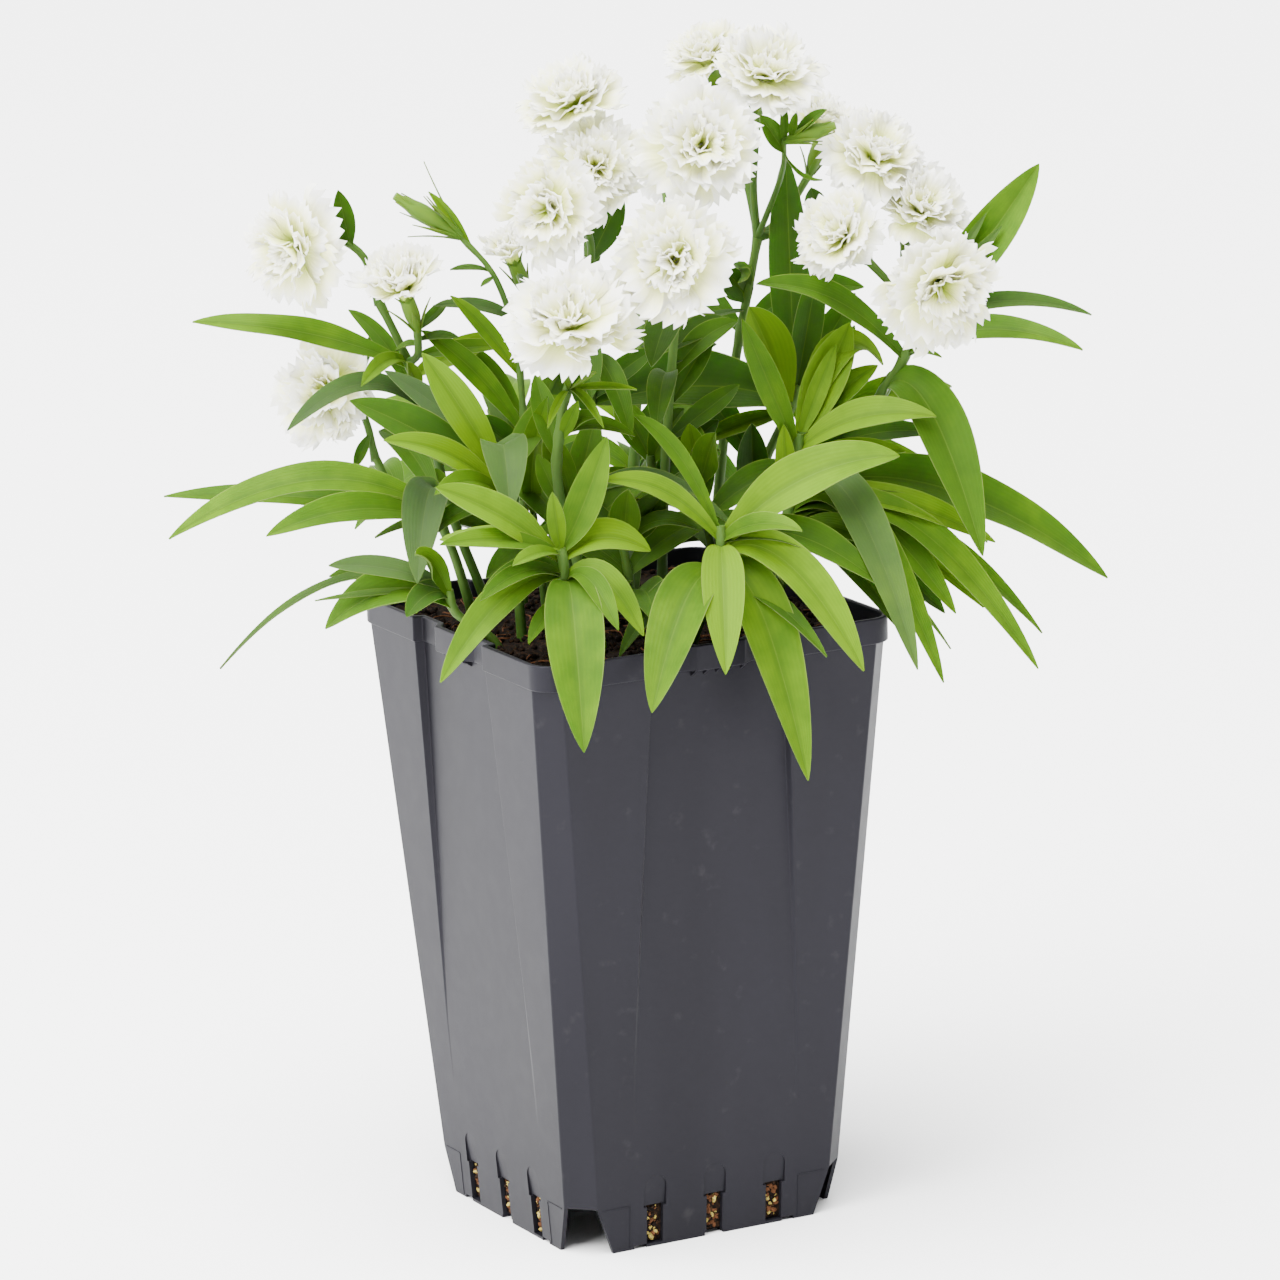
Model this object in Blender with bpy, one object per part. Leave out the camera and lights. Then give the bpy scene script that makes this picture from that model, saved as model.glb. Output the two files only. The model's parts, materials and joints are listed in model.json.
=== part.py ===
"""Potted dianthus: a square nursery pot, its soil, leafy shoots, flower stems and blooms.

Sizes are in millimetres and become metres when a point is placed. The pot's axis is Z and its
faces look along X and Y. The plant is laid out in a turned frame, in which u runs to the right,
v runs away from the front and w is the height above the ground.
"""

from collections import namedtuple
from math import cos, pi, radians, sin, sqrt

import bmesh
import bpy
from mathutils import Matrix, Vector

MM = 0.001
GAP = 0.3
OVERCUT = 3.0
PAST_WALL = 70.0
FLAT_ANGLE = 0.2
JOIN_DISTANCE = 0.001

# Pot
WALL_FOOT_HALF = 50.9
WALL_TAPER = 0.0741
WALL = 1.5
CORNER_CUT_FOOT = 8.4
CORNER_CUT_TOP = 7.2
PANEL_HALF_TOP = 25.3
PANEL_HALF_FOOT = 31.0
PANEL_DEPTH = 3.1
PANEL_FOOT_Z = 63.0
PANEL_STEP = 0.9
WALL_TOP_Z = 196.4
POT_HEIGHT = 205.0
RIM_HALF = 66.2
RIM_WALL = 1.8
RIM_CORNER_RADIUS = 9.0
RIM_CORNER_STEPS = 4
MOUTH_EASE = 0.6
LOBE_HALF = 11.0
LOBE_EASE = 2.2
LOBE_ROUNDING = 1.4
FLOOR_UNDER_Z = 16.2
FLOOR_TOP_Z = 18.0
SKIRT_HALF_TOP = 43.8
SKIRT_HALF_FOOT = 36.9
FOOT_INNER = 30.2
FOOT_STEP = 1.2
FOOT_STEP_REACH = 4.0
LIP_INNER = 3.6
LIP_OUTER = 25.6
TROUGH_FOOT_Z = 1.3
TROUGH_FOOT_DEPTH = 3.0
TROUGH_TOP_DEPTH = 8.2
TROUGH_EASE = 0.15
CENTRE_FOOT_HALF = 8.0
SLOT_PITCH = 22.5
SLOT_WIDTH = 6.0
SLOT_FOOT_Z = 1.0
SLOT_TOP_Z = 14.5
SCOOP_WIDTH = 8.3
SCOOP_TOP_Z = 25.0
SCOOP_DEPTH = 0.9
SCOOP_STEPS = 3
JOINT_OVERLAP = 0.5
FLANK_SHARE = 1.1

# Soil
SOIL_TOP_Z = 198.0
ROOT_DEPTH = 14.0
ROOT_RISE = 2.0
ROOT_RADIUS = 2.0
HOLE_RISE = 5.0
HOLE_SIDES = 6

# Plant
PLANT_TURN = radians(28.12)
STEM_SIDES = 5
STEM_NARROWING = 0.25
STALK_RADIUS = 1.3
STALK_SIDES = 4
STALK_TURN = 0.35
STALK_MIDDLE = 0.6
PAIR_STEM_RADIUS = 1.8
PAIR_COUNT = 3
PAIR_WIDTH = 13.0
PAIR_LOW_SHARE = 0.25
PAIR_HIGH_SHARE = 0.95
PAIR_LOW_CLIMB = radians(15)
PAIR_HIGH_CLIMB = radians(65)
PAIR_SHORTENING = 0.35
PAIR_NARROWING = 0.2
PAIR_LIFT_SHARE = 0.16
PAIR_FRONT_FACING = 0.9
PAIR_BACK_FACING = -0.6
FRONT_LIMIT = 30.0
BLADE_THICKNESS = 1.2
SMALL_BLADE = 10.2
BLADE_CHANNEL = 0.30
BLADE_OUTWARD = 0.35
BEND_PLACE = 0.42
BLADE_COARSE = ((0.0, 0.16), (0.30, 0.86), (0.72, 0.9))
BLADE_STATIONS = ((0.0, 0.16), (0.22, 0.70), (0.54, 1.0), (0.83, 0.72))
SMALL_BLOOM = 14.0
PETAL_THICKNESS = 0.6
PETAL_WAVE = 0.8
PETAL_DROOP = 0.12
PETAL_HALF_SHARE = 0.46
PETAL_MIDDLE = 0.5
PETAL_ROUNDING = 0.1
TOOTH_DEPTH = 0.14
NOTCH_REACH = 0.36
CALYX_LENGTH = 13.0
CALYX_SHAPE = ((0.0, 1.5), (4.0, 2.3), (13.0, 2.6))
CALYX_SEAT = 1.0
BUD_SHAPE = ((0.0, 0.3), (0.25, 1.0), (0.55, 0.95), (0.85, 0.45), (1.0, 0.1))
HEART_RADIUS = 2.9
HEART_WIDENING = 1.15
HEART_HEIGHT = 5.0
HEART_SIDES = 3

Finish = namedtuple("Finish", "name colour roughness")
POT_PLASTIC = Finish("dark_grey_plastic", (0.075, 0.075, 0.085), 0.42)
SOIL_CRUMB = Finish("potting_soil", (0.035, 0.022, 0.015), 0.95)
LEAF_GREEN = Finish("leaf_green", (0.14, 0.30, 0.055), 0.5)
PETAL_WHITE = Finish("petal_white", (0.87, 0.87, 0.80), 0.6)

Leaf = namedtuple("Leaf", "base tip width lift sway roll front coarse", defaults=(0, 0, 0.9, False))
Stem = namedtuple("Stem", "points radius")
Bud = namedtuple("Bud", "base tip radius")
Bloom = namedtuple("Bloom", "name heart facing radius cup")
Whorl = namedtuple("Whorl", "count teeth spread reach height start")
WHORLS = (Whorl(5, 3, 84, 1.0, -1.3, 0.0), Whorl(5, 3, 56, 0.88, 0.4, 0.5), Whorl(3, 3, 28, 0.72, 1.6, 0.2))


def clear_scene():
    """Remove every object that is already in the file."""
    for item in list(bpy.data.objects):
        bpy.data.objects.remove(item, do_unlink=True)


def material(finish):
    """Make a Principled material from a finish."""
    made = bpy.data.materials.new(finish.name)
    made.use_nodes = True
    shader = made.node_tree.nodes["Principled BSDF"]
    shader.inputs["Base Color"].default_value = (*finish.colour, 1.0)
    shader.inputs["Roughness"].default_value = finish.roughness
    shader.inputs["Metallic"].default_value = 0.0
    return made


def mesh_object(name, points, faces, collection=None):
    """Make an object from a closed solid's points in millimetres, with its faces turned outwards."""
    mesh = bpy.data.meshes.new(name)
    mesh.from_pydata([Vector(p) * MM for p in points], [], faces)
    work = bmesh.new()
    work.from_mesh(mesh)
    bmesh.ops.recalc_face_normals(work, faces=work.faces)
    work.to_mesh(mesh)
    work.free()
    made = bpy.data.objects.new(name, mesh)
    (collection or bpy.context.scene.collection).objects.link(made)
    return made


def loft(rings):
    """Return the points and faces of a closed solid through rings of equal length."""
    count = len(rings[0])
    points = [p for ring in rings for p in ring]
    faces = [tuple(reversed(range(count)))]
    for level in range(len(rings) - 1):
        low = level * count
        high = low + count
        for k in range(count):
            after = (k + 1) % count
            faces += [(low + k, low + after, high + after), (low + k, high + after, high + k)]
    top = (len(rings) - 1) * count
    faces.append(tuple(range(top, top + count)))
    return points, faces


def box(low, high):
    """Return the points and faces of a box between two corners."""
    rings = []
    for z in (low[2], high[2]):
        rings.append([(low[0], low[1], z), (high[0], low[1], z), (high[0], high[1], z),
                      (low[0], high[1], z)])
    return loft(rings)


def combined(target, tools, operation, solver):
    """Return the mesh of a target after one Boolean with a collection."""
    cut = target.modifiers.new("cut", "BOOLEAN")
    cut.operand_type = "COLLECTION"
    cut.collection = tools
    cut.operation = operation
    cut.solver = solver
    seen = target.evaluated_get(bpy.context.evaluated_depsgraph_get())
    result = bpy.data.meshes.new_from_object(seen)
    target.modifiers.remove(cut)
    return result


def tidy_mesh(mesh):
    """Join points that coincide, and say whether the mesh is closed."""
    work = bmesh.new()
    work.from_mesh(mesh)
    bmesh.ops.remove_doubles(work, verts=work.verts, dist=JOIN_DISTANCE * MM)
    closed = bool(work.faces) and all(edge.is_manifold for edge in work.edges)
    work.to_mesh(mesh)
    work.free()
    return closed


def combine(target, solids, operation):
    """Apply one Boolean of a mesh object with a collection of closed solids."""
    tools = bpy.data.collections.new("tools")
    bpy.context.scene.collection.children.link(tools)
    for index, (points, faces) in enumerate(solids):
        mesh_object(f"tool_{index}", points, faces, tools)
    for solver in ("EXACT", "MANIFOLD"):
        result = combined(target, tools, operation, solver)
        if tidy_mesh(result):
            break
    target.data = result
    for tool in list(tools.objects):
        bpy.data.objects.remove(tool, do_unlink=True)
    bpy.data.collections.remove(tools)


def islands(work):
    """Return the connected groups of faces of a bmesh."""
    seen = set()
    groups = []
    for face in work.faces:
        if face in seen:
            continue
        group = [face]
        seen.add(face)
        for member in group:
            for edge in member.edges:
                for other in edge.link_faces:
                    if other not in seen:
                        seen.add(other)
                        group.append(other)
        groups.append(group)
    return groups


def keep_main_body(target, merge_flat=False):
    """Keep the largest body, which drops loose scraps and fills sealed hollows."""
    work = bmesh.new()
    work.from_mesh(target.data)
    groups = sorted(islands(work), key=lambda g: sum(f.calc_area() for f in g))
    spare = [face for group in groups[:-1] for face in group]
    bmesh.ops.delete(work, geom=spare, context="FACES")
    if merge_flat:
        bmesh.ops.dissolve_limit(work, angle_limit=radians(FLAT_ANGLE), verts=work.verts, edges=work.edges)
    bmesh.ops.triangulate(work, faces=work.faces)
    work.to_mesh(target.data)
    work.free()


def finish_object(target, finish, smooth_angle):
    """Give an object its own material and its shading."""
    target.data.materials.clear()
    target.data.materials.append(material(finish))
    target.data.shade_smooth()
    target.data.set_sharp_from_angle(angle=radians(smooth_angle))


def wall_half(z):
    """Half the pot's outer width at a height."""
    return WALL_FOOT_HALF + WALL_TAPER * z


def share_up(z, low, high):
    """How far a height lies between two others, from 0 to 1."""
    return min(max((z - low) / (high - low), 0.0), 1.0)


def four_sides(side):
    """Repeat a row of points for the front face on all four faces of the pot."""
    ring = []
    for turn in range(4):
        spin = Matrix.Rotation(turn * pi / 2, 3, "Z")
        ring += [spin @ Vector(p) for p in side]
    return ring


def wall_ring(z, inset):
    """Outline of the pot wall at a height, moved in by an inset."""
    half = wall_half(z)
    rise = share_up(z, PANEL_FOOT_Z, WALL_TOP_Z)
    corner = CORNER_CUT_FOOT + (CORNER_CUT_TOP - CORNER_CUT_FOOT) * share_up(z, 0, WALL_TOP_Z)
    corner_end = half - inset - (corner - inset * (2 - sqrt(2)))
    depth = PANEL_DEPTH * rise
    panel = PANEL_HALF_FOOT + (PANEL_HALF_TOP - PANEL_HALF_FOOT) * rise + inset
    flush = -(half - inset)
    side = [(-corner_end, flush, z), (-panel, flush, z), (PANEL_STEP - panel, flush + depth, z),
            (panel - PANEL_STEP, flush + depth, z), (panel, flush, z), (corner_end, flush, z)]
    return four_sides(side)


def rim_ring(z, inset):
    """Outline of the rim: round corners, a shallow bay and a lobe in the middle of each side."""
    flush = -(RIM_HALF - inset)
    deep = flush + PANEL_DEPTH
    bay = PANEL_HALF_TOP + inset
    lobe = LOBE_HALF - inset
    side = [(-bay, flush, z), (PANEL_STEP - bay, deep, z), (-lobe - LOBE_EASE, deep, z),
            (-lobe, deep - LOBE_ROUNDING, z), (LOBE_EASE - lobe, flush, z), (lobe - LOBE_EASE, flush, z),
            (lobe, deep - LOBE_ROUNDING, z), (lobe + LOBE_EASE, deep, z), (bay - PANEL_STEP, deep, z),
            (bay, flush, z)]
    radius = RIM_CORNER_RADIUS - inset
    centre = RIM_HALF - RIM_CORNER_RADIUS
    for step in range(RIM_CORNER_STEPS + 1):
        angle = -pi / 2 + step * pi / 2 / RIM_CORNER_STEPS
        side.append((centre + radius * cos(angle), -centre + radius * sin(angle), z))
    return four_sides(side)


def side_solid(profile, half_low, half_high):
    """Solid on the front face: a profile of (depth, z) points, widened from low to high."""
    lowest = min(z for depth, z in profile)
    highest = max(z for depth, z in profile)
    rings = []
    for sign in (-1, 1):
        ring = []
        for depth, z in profile:
            half = half_low + (half_high - half_low) * share_up(z, lowest, highest)
            ring.append(Vector((sign * half, depth - wall_half(z), z)))
        rings.append(ring)
    return loft(rings)


def turned(solid, turn):
    """Turn a solid about the pot's axis by quarter turns."""
    points, faces = solid
    spin = Matrix.Rotation(turn * pi / 2, 3, "Z")
    return [spin @ Vector(p) for p in points], faces


def shifted(solid, offset):
    """Move a solid along the front face."""
    points, faces = solid
    return [Vector(p) + Vector((offset, 0, 0)) for p in points], faces


def trough(grow):
    """Profile of the soil trough behind the slots, made larger or smaller all round."""
    near = WALL + TROUGH_EASE - grow
    return [(near, TROUGH_FOOT_Z - grow), (TROUGH_FOOT_DEPTH + grow, TROUGH_FOOT_Z - grow),
            (TROUGH_TOP_DEPTH + grow, FLOOR_TOP_Z + OVERCUT), (near, FLOOR_TOP_Z + OVERCUT)]


def underside_solid():
    """Hollow under the raised floor, with its flanks leaning in over the troughs."""
    slope = (TROUGH_TOP_DEPTH - TROUGH_FOOT_DEPTH) / (FLOOR_TOP_Z - TROUGH_FOOT_Z)
    rings = []
    for z in (-OVERCUT, FLOOR_UNDER_Z):
        depth = TROUGH_FOOT_DEPTH + slope * (z - TROUGH_FOOT_Z) + WALL * FLANK_SHARE
        half = wall_half(z) - depth
        rings.append([(-half, -half, z), (half, -half, z), (half, half, z), (-half, half, z)])
    return loft(rings)


def corner_hollow():
    """Space under the floor's corner, open to the hollow under the floor."""
    rings = []
    for z in (-OVERCUT, FLOOR_UNDER_Z):
        outer = wall_half(z) - WALL
        rings.append([(FOOT_INNER, -outer, z), (outer, -outer, z), (outer, -FOOT_INNER, z),
                      (FOOT_INNER, -FOOT_INNER, z)])
    return loft(rings)


def corner_notch():
    """Slanted cut that opens each corner of the skirt."""
    far = PAST_WALL
    rings = []
    for z, half in ((-OVERCUT, SKIRT_HALF_FOOT), (FLOOR_UNDER_Z, SKIRT_HALF_TOP)):
        rings.append([(half, -far, z), (far, -far, z), (far, -half, z), (half, -half, z)])
    return loft(rings)


def slot():
    """One drainage slot through the skirt."""
    inside = WALL + 2 * GAP
    profile = [(-OVERCUT, SLOT_FOOT_Z), (inside, SLOT_FOOT_Z), (inside, SLOT_TOP_Z), (-OVERCUT, SLOT_TOP_Z)]
    return side_solid(profile, SLOT_WIDTH / 2, SLOT_WIDTH / 2)


def scoop():
    """Arched hollow above a slot, deepest at the slot's top edge."""
    low = SLOT_TOP_Z - JOINT_OVERLAP
    arch = [(-SCOOP_WIDTH / 2, low), (SCOOP_WIDTH / 2, low)]
    spring = SCOOP_TOP_Z - SCOOP_WIDTH / 2
    for step in range(SCOOP_STEPS + 1):
        angle = step * pi / SCOOP_STEPS
        arch.append((SCOOP_WIDTH / 2 * cos(angle), spring + SCOOP_WIDTH / 2 * sin(angle)))
    rings = []
    for outside in (True, False):
        ring = []
        for across, z in arch:
            depth = -OVERCUT if outside else SCOOP_DEPTH * (1 - share_up(z, SLOT_TOP_Z, SCOOP_TOP_Z))
            ring.append(Vector((across, depth - wall_half(z), z)))
        rings.append(ring)
    return loft(rings)


def foot_step(low, high):
    """Shallow cut that lifts part of the skirt's lower edge off the ground."""
    width = (high - low) / 2
    inside = TROUGH_FOOT_DEPTH + FOOT_STEP_REACH
    profile = [(-OVERCUT, -OVERCUT), (inside, -OVERCUT), (inside, FOOT_STEP), (-OVERCUT, FOOT_STEP)]
    return shifted(side_solid(profile, width, width), (low + high) / 2)


def side_cutters():
    """Cutters for one side's trough, slots, scoops and raised stretches of its lower edge."""
    half = FOOT_INNER - WALL
    cutters = [side_solid(trough(0), half, half)]
    for place in (-SLOT_PITCH, 0, SLOT_PITCH):
        cutters += [shifted(slot(), place), shifted(scoop(), place)]
    for low, high in ((-FOOT_INNER, -LIP_OUTER), (-LIP_INNER, LIP_INNER), (LIP_OUTER, FOOT_INNER)):
        cutters.append(foot_step(low, high))
    return cutters


def pot_cavities():
    """The soil space with its wider mouth, and the hollow under the raised floor."""
    inner = (FLOOR_TOP_Z, PANEL_FOOT_Z, WALL_TOP_Z, WALL_TOP_Z + WALL + MOUTH_EASE)
    mouth = [rim_ring(z, RIM_WALL) for z in (WALL_TOP_Z + WALL, POT_HEIGHT + OVERCUT)]
    return [loft([wall_ring(z, WALL) for z in inner]), loft(mouth), underside_solid()]


def build_pot():
    """Nursery pot with recessed side panels, a scalloped rim, skirts, slots and a raised floor."""
    levels = (0.0, FLOOR_UNDER_Z, PANEL_FOOT_Z, WALL_TOP_Z, POT_HEIGHT - OVERCUT)
    points, faces = loft([wall_ring(z, 0) for z in levels])
    pot = mesh_object("pot", points, faces)
    combine(pot, [loft([rim_ring(WALL_TOP_Z, 0), rim_ring(POT_HEIGHT, 0)])], "UNION")
    cutters = pot_cavities()
    for turn in range(4):
        cutters += [turned(cutter, turn) for cutter in (corner_hollow(), corner_notch(), *side_cutters())]
    combine(pot, cutters, "DIFFERENCE")
    half = CENTRE_FOOT_HALF
    combine(pot, [box((-half, -half, 0), (half, half, FLOOR_UNDER_Z + JOINT_OVERLAP))], "UNION")
    keep_main_body(pot, merge_flat=True)
    finish_object(pot, POT_PLASTIC, 30)


def hole(place):
    """Plain hole in the soil for a stem, with a running gap."""
    u, v = place
    foot = SOIL_TOP_Z - ROOT_DEPTH - GAP
    return tube([at(u, v, foot), at(u, v, SOIL_TOP_Z + HOLE_RISE)], [ROOT_RADIUS + GAP] * 2, HOLE_SIDES)


def build_soil(roots):
    """Soil that fills the pot and its four troughs, with a hole for each stem."""
    levels = (FLOOR_TOP_Z + GAP, PANEL_FOOT_Z, WALL_TOP_Z, SOIL_TOP_Z)
    points, faces = loft([wall_ring(z, WALL + GAP) for z in levels])
    soil = mesh_object("soil", points, faces)
    half = FOOT_INNER - WALL - GAP
    combine(soil, [turned(side_solid(trough(-GAP), half, half), turn) for turn in range(4)], "UNION")
    combine(soil, [hole(place) for place in roots], "DIFFERENCE")
    keep_main_body(soil, merge_flat=True)
    finish_object(soil, SOIL_CRUMB, 30)


def at(u, v, w):
    """A point of the plant's frame in the pot's frame."""
    return Vector((u * cos(PLANT_TURN) + v * sin(PLANT_TURN), v * cos(PLANT_TURN) - u * sin(PLANT_TURN), w))


def tube(path, radii, sides):
    """Closed tube along a path."""
    rings = []
    side = None
    for k, point in enumerate(path):
        along = (path[min(k + 1, len(path) - 1)] - path[max(k - 1, 0)]).normalized()
        if side is None:
            side = along.orthogonal().normalized()
        side = (side - along * side.dot(along)).normalized()
        other = along.cross(side)
        ring = []
        for step in range(sides):
            angle = 2 * pi * step / sides
            ring.append(point + (side * cos(angle) + other * sin(angle)) * radii[k])
        rings.append(ring)
    return loft(rings)


def stem_solid(stem):
    """Rooted or branching stem, thinner towards its end."""
    path = [at(*p) for p in stem.points]
    last = len(path) - 1
    radii = [stem.radius * (1 - STEM_NARROWING * k / last) for k in range(len(path))]
    return tube(path, radii, STEM_SIDES)


def leaf_solid(leaf):
    """Channelled lance-shaped blade, with both faces split into triangles alike."""
    base = at(*leaf.base)
    tip = at(*leaf.tip)
    sideways = at(1, 0, 0)
    bend = base.lerp(tip, BEND_PLACE) + Vector((0, 0, 2 * leaf.lift)) + sideways * 2 * leaf.sway
    chord = tip - base
    flat = Vector((chord.x, chord.y, 0))
    hint = Vector((0, 0, 1)) + flat.normalized() * BLADE_OUTWARD + at(0, -1, 0) * leaf.front
    points = []
    stations = BLADE_COARSE if leaf.coarse or leaf.width < SMALL_BLADE else BLADE_STATIONS
    for t, share in stations:
        centre = base * (1 - t) ** 2 + bend * 2 * t * (1 - t) + tip * t * t
        along = ((bend - base) * (1 - t) + (tip - bend) * t).normalized()
        normal = (hint - along * hint.dot(along)).normalized()
        normal = Matrix.Rotation(radians(leaf.roll), 3, along) @ normal
        across = along.cross(normal)
        half = leaf.width * share / 2
        edge = normal * half * BLADE_CHANNEL
        points += [centre - across * half + edge, centre + normal * BLADE_THICKNESS / 2,
                   centre + across * half + edge, centre - normal * BLADE_THICKNESS / 2]
    points.append(tip)
    faces = [(0, 1, 3), (1, 2, 3)]
    rings = len(stations)
    for k in range(rings - 1):
        left, top, right, under = range(4 * k, 4 * k + 4)
        faces += [(left, left + 4, top + 4), (left, top + 4, top), (left, under, under + 4),
                  (left, under + 4, left + 4), (right, top, top + 4), (right, top + 4, right + 4),
                  (right, under + 4, under), (right, right + 4, under + 4)]
    left, top, right, under = range(4 * (rings - 1), 4 * rings)
    end = len(points) - 1
    faces += [(left, end, top), (top, end, right), (right, end, under), (under, end, left)]
    return points, faces


def calyx_solid(bloom):
    """Green sleeve that a bloom sits on."""
    facing = at(*bloom.facing).normalized()
    foot = at(*bloom.heart) - facing * (HEART_HEIGHT / 2 + GAP + CALYX_LENGTH)
    path = [foot + facing * height for height, radius in CALYX_SHAPE]
    return tube(path, [radius for height, radius in CALYX_SHAPE], STEM_SIDES)


def calyx_foot(bloom):
    """Where a stem meets a bloom's calyx."""
    facing = at(*bloom.facing).normalized()
    return at(*bloom.heart) - facing * (HEART_HEIGHT / 2 + GAP + CALYX_LENGTH - CALYX_SEAT)


def branch_solid(start, bloom):
    """Thin stalk from a branching point to a bloom's calyx."""
    foot = calyx_foot(bloom)
    facing = at(*bloom.facing).normalized()
    first = at(*start)
    reach = (foot - first).length
    path = [first, first.lerp(foot - facing * reach * STALK_TURN, STALK_MIDDLE), foot]
    return tube(path, [STALK_RADIUS] * len(path), STALK_SIDES)


def bud_solid(bud):
    """Closed bud: a slim spindle with a pointed end."""
    base = at(*bud.base)
    tip = at(*bud.tip)
    path = [base.lerp(tip, share) for share, width in BUD_SHAPE]
    return tube(path, [bud.radius * width for share, width in BUD_SHAPE], STEM_SIDES)


def whorl_solid(bloom, whorl):
    """One ring of toothed petals, cut in between them and closed over the core."""
    facing = at(*bloom.facing).normalized()
    side = facing.orthogonal().normalized()
    other = facing.cross(side)
    lean = radians(whorl.spread * (1 - bloom.cup))
    start = at(*bloom.heart) + facing * whorl.height
    length = bloom.radius * whorl.reach
    step = 2 * pi / whorl.count

    def pair(turn, reach, lift):
        """Upper and lower point at a turn round the bloom and a share of the petal's length."""
        out = side * cos(turn) + other * sin(turn)
        along = out * sin(lean) + facing * cos(lean)
        normal = facing * sin(lean) - out * cos(lean)
        droop = PETAL_DROOP * length * reach * reach
        point = start + along * length * reach + normal * (lift - droop)
        return point + normal * PETAL_THICKNESS / 2, point - normal * PETAL_THICKNESS / 2

    pairs = [(start + facing * PETAL_THICKNESS / 2, start - facing * PETAL_THICKNESS / 2)]
    for k in range(whorl.count):
        middle = (k + whorl.start) * step
        pairs += [pair(middle - step / 2, NOTCH_REACH, 0), pair(middle, PETAL_MIDDLE, PETAL_WAVE)]
        for j in range(whorl.teeth):
            place = 2 * j / (whorl.teeth - 1) - 1
            reach = 1 - PETAL_ROUNDING * place * place - (TOOTH_DEPTH if j % 2 else 0)
            lift = PETAL_WAVE if j % 2 else -PETAL_WAVE
            pairs.append(pair(middle + place * step * PETAL_HALF_SHARE, reach, lift))
    return thin_solid(pairs, whorl)


def thin_solid(pairs, whorl):
    """Close a ring of petals from pairs of upper and lower points, split alike on both faces."""
    size = 2 + whorl.teeth
    upper = []
    outline = []
    for k in range(whorl.count):
        notch = 1 + k * size
        after = 1 + (k + 1) % whorl.count * size
        middle = notch + 1
        edge = list(range(notch + 2, notch + size))
        upper += [(0, notch, middle), (0, middle, after)]
        ring = [notch, *edge, after]
        upper += [(middle, a, b) for a, b in zip(ring, ring[1:])]
        outline += [notch, *edge]
    count = len(pairs)
    faces = upper + [tuple(count + i for i in reversed(face)) for face in upper]
    for a, b in zip(outline, outline[1:] + outline[:1]):
        faces += [(b, a, a + count), (b, a + count, b + count)]
    return [top for top, under in pairs] + [under for top, under in pairs], faces


def heart_solid(bloom):
    """Small core that the petals stand out of."""
    facing = at(*bloom.facing).normalized()
    centre = at(*bloom.heart)
    half = facing * HEART_HEIGHT / 2
    return tube([centre - half, centre + half], [HEART_RADIUS, HEART_RADIUS * HEART_WIDENING], HEART_SIDES)


def build_bloom(bloom):
    """Double bloom: rings of toothed petals round a small core."""
    points, faces = heart_solid(bloom)
    made = mesh_object(bloom.name, points, faces)
    whorls = WHORLS if bloom.radius > SMALL_BLOOM else WHORLS[:2]
    combine(made, [whorl_solid(bloom, whorl) for whorl in whorls], "UNION")
    keep_main_body(made)
    finish_object(made, PETAL_WHITE, 40)


def shoot_solids(stems, leaves, buds, blooms):
    """The closed solids that make up one leafy or flowering stem."""
    solids = [stem_solid(stem) for stem in stems]
    solids += [leaf_solid(leaf) for leaf in leaves]
    solids += [bud_solid(bud) for bud in buds]
    for start, bloom in blooms:
        solids += [branch_solid(start, bloom), calyx_solid(bloom)]
    return solids


def build_shoot(name, stems, leaves=(), buds=(), blooms=()):
    """One leafy or flowering stem with all that grows green on it, as one body."""
    solids = shoot_solids(stems, leaves, buds, blooms)
    points, faces = solids[0]
    made = mesh_object(name, points, faces)
    combine(made, solids[1:], "UNION")
    keep_main_body(made)
    finish_object(made, LEAF_GREEN, 40)


def root(u, v):
    """Lower end of a stem, straight down in its hole in the soil."""
    return (u, v, SOIL_TOP_Z - ROOT_DEPTH), (u, v, SOIL_TOP_Z + ROOT_RISE)


BLOOM_WEST = Bloom("bloom_west", (-103, 0, 329), (-0.7, -0.7, -0.1), 18.5, 0.0)
BLOOM_WEST_CUP = Bloom("bloom_west_cup", (-69, -14, 315), (-0.25, -0.35, 0.9), 16, 0.4)
BLOOM_WEST_LOW = Bloom("bloom_west_low", (-96, 24, 275), (-0.35, -0.85, 0.2), 18, 0.0)
BLOOM_HIGH_LEFT = Bloom("bloom_high_left", (-12, 24, 368), (-0.3, -0.45, 0.85), 18, 0.1)
BLOOM_MIDDLE_LEFT = Bloom("bloom_middle_left", (-6, 12, 349), (0.1, -0.8, 0.5), 18, 0.0)
BLOOM_MIDDLE_LOW = Bloom("bloom_middle_low", (-20, -26, 343), (-0.4, -0.85, 0.1), 17, 0.1)
BLOOM_OPENING = Bloom("bloom_opening", (-34, 4, 323), (-0.3, -0.3, 0.9), 11, 0.6)
BLOOM_FRONT = Bloom("bloom_front", (-15, -46, 306), (0.0, -0.6, 0.8), 22, 0.0)
BLOOM_TALL = Bloom("bloom_tall", (29, 1, 357), (0.1, -0.85, 0.4), 21, 0.0)
BLOOM_EYE = Bloom("bloom_eye", (20, -32, 326), (-0.1, -0.9, 0.3), 20, 0.0)
BLOOM_TOP_LEFT = Bloom("bloom_top_left", (33, 62, 376), (-0.3, -0.3, 0.9), 14, 0.2)
BLOOM_TOP = Bloom("bloom_top", (51, 32, 374), (0.15, -0.55, 0.8), 19, 0.05)
BLOOM_BACK_RIGHT = Bloom("bloom_back_right", (71, 62, 351), (0.3, -0.2, 0.9), 14, 0.2)
BLOOM_RIGHT_HIGH = Bloom("bloom_right_high", (86, 32, 346), (0.35, -0.6, 0.7), 18, 0.0)
BLOOM_RIGHT = Bloom("bloom_right", (76, 4, 325), (-0.5, -0.6, 0.6), 16, 0.1)
BLOOM_EAST = Bloom("bloom_east", (105, -16, 314), (0.35, -0.9, -0.15), 20, 0.0)
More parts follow.
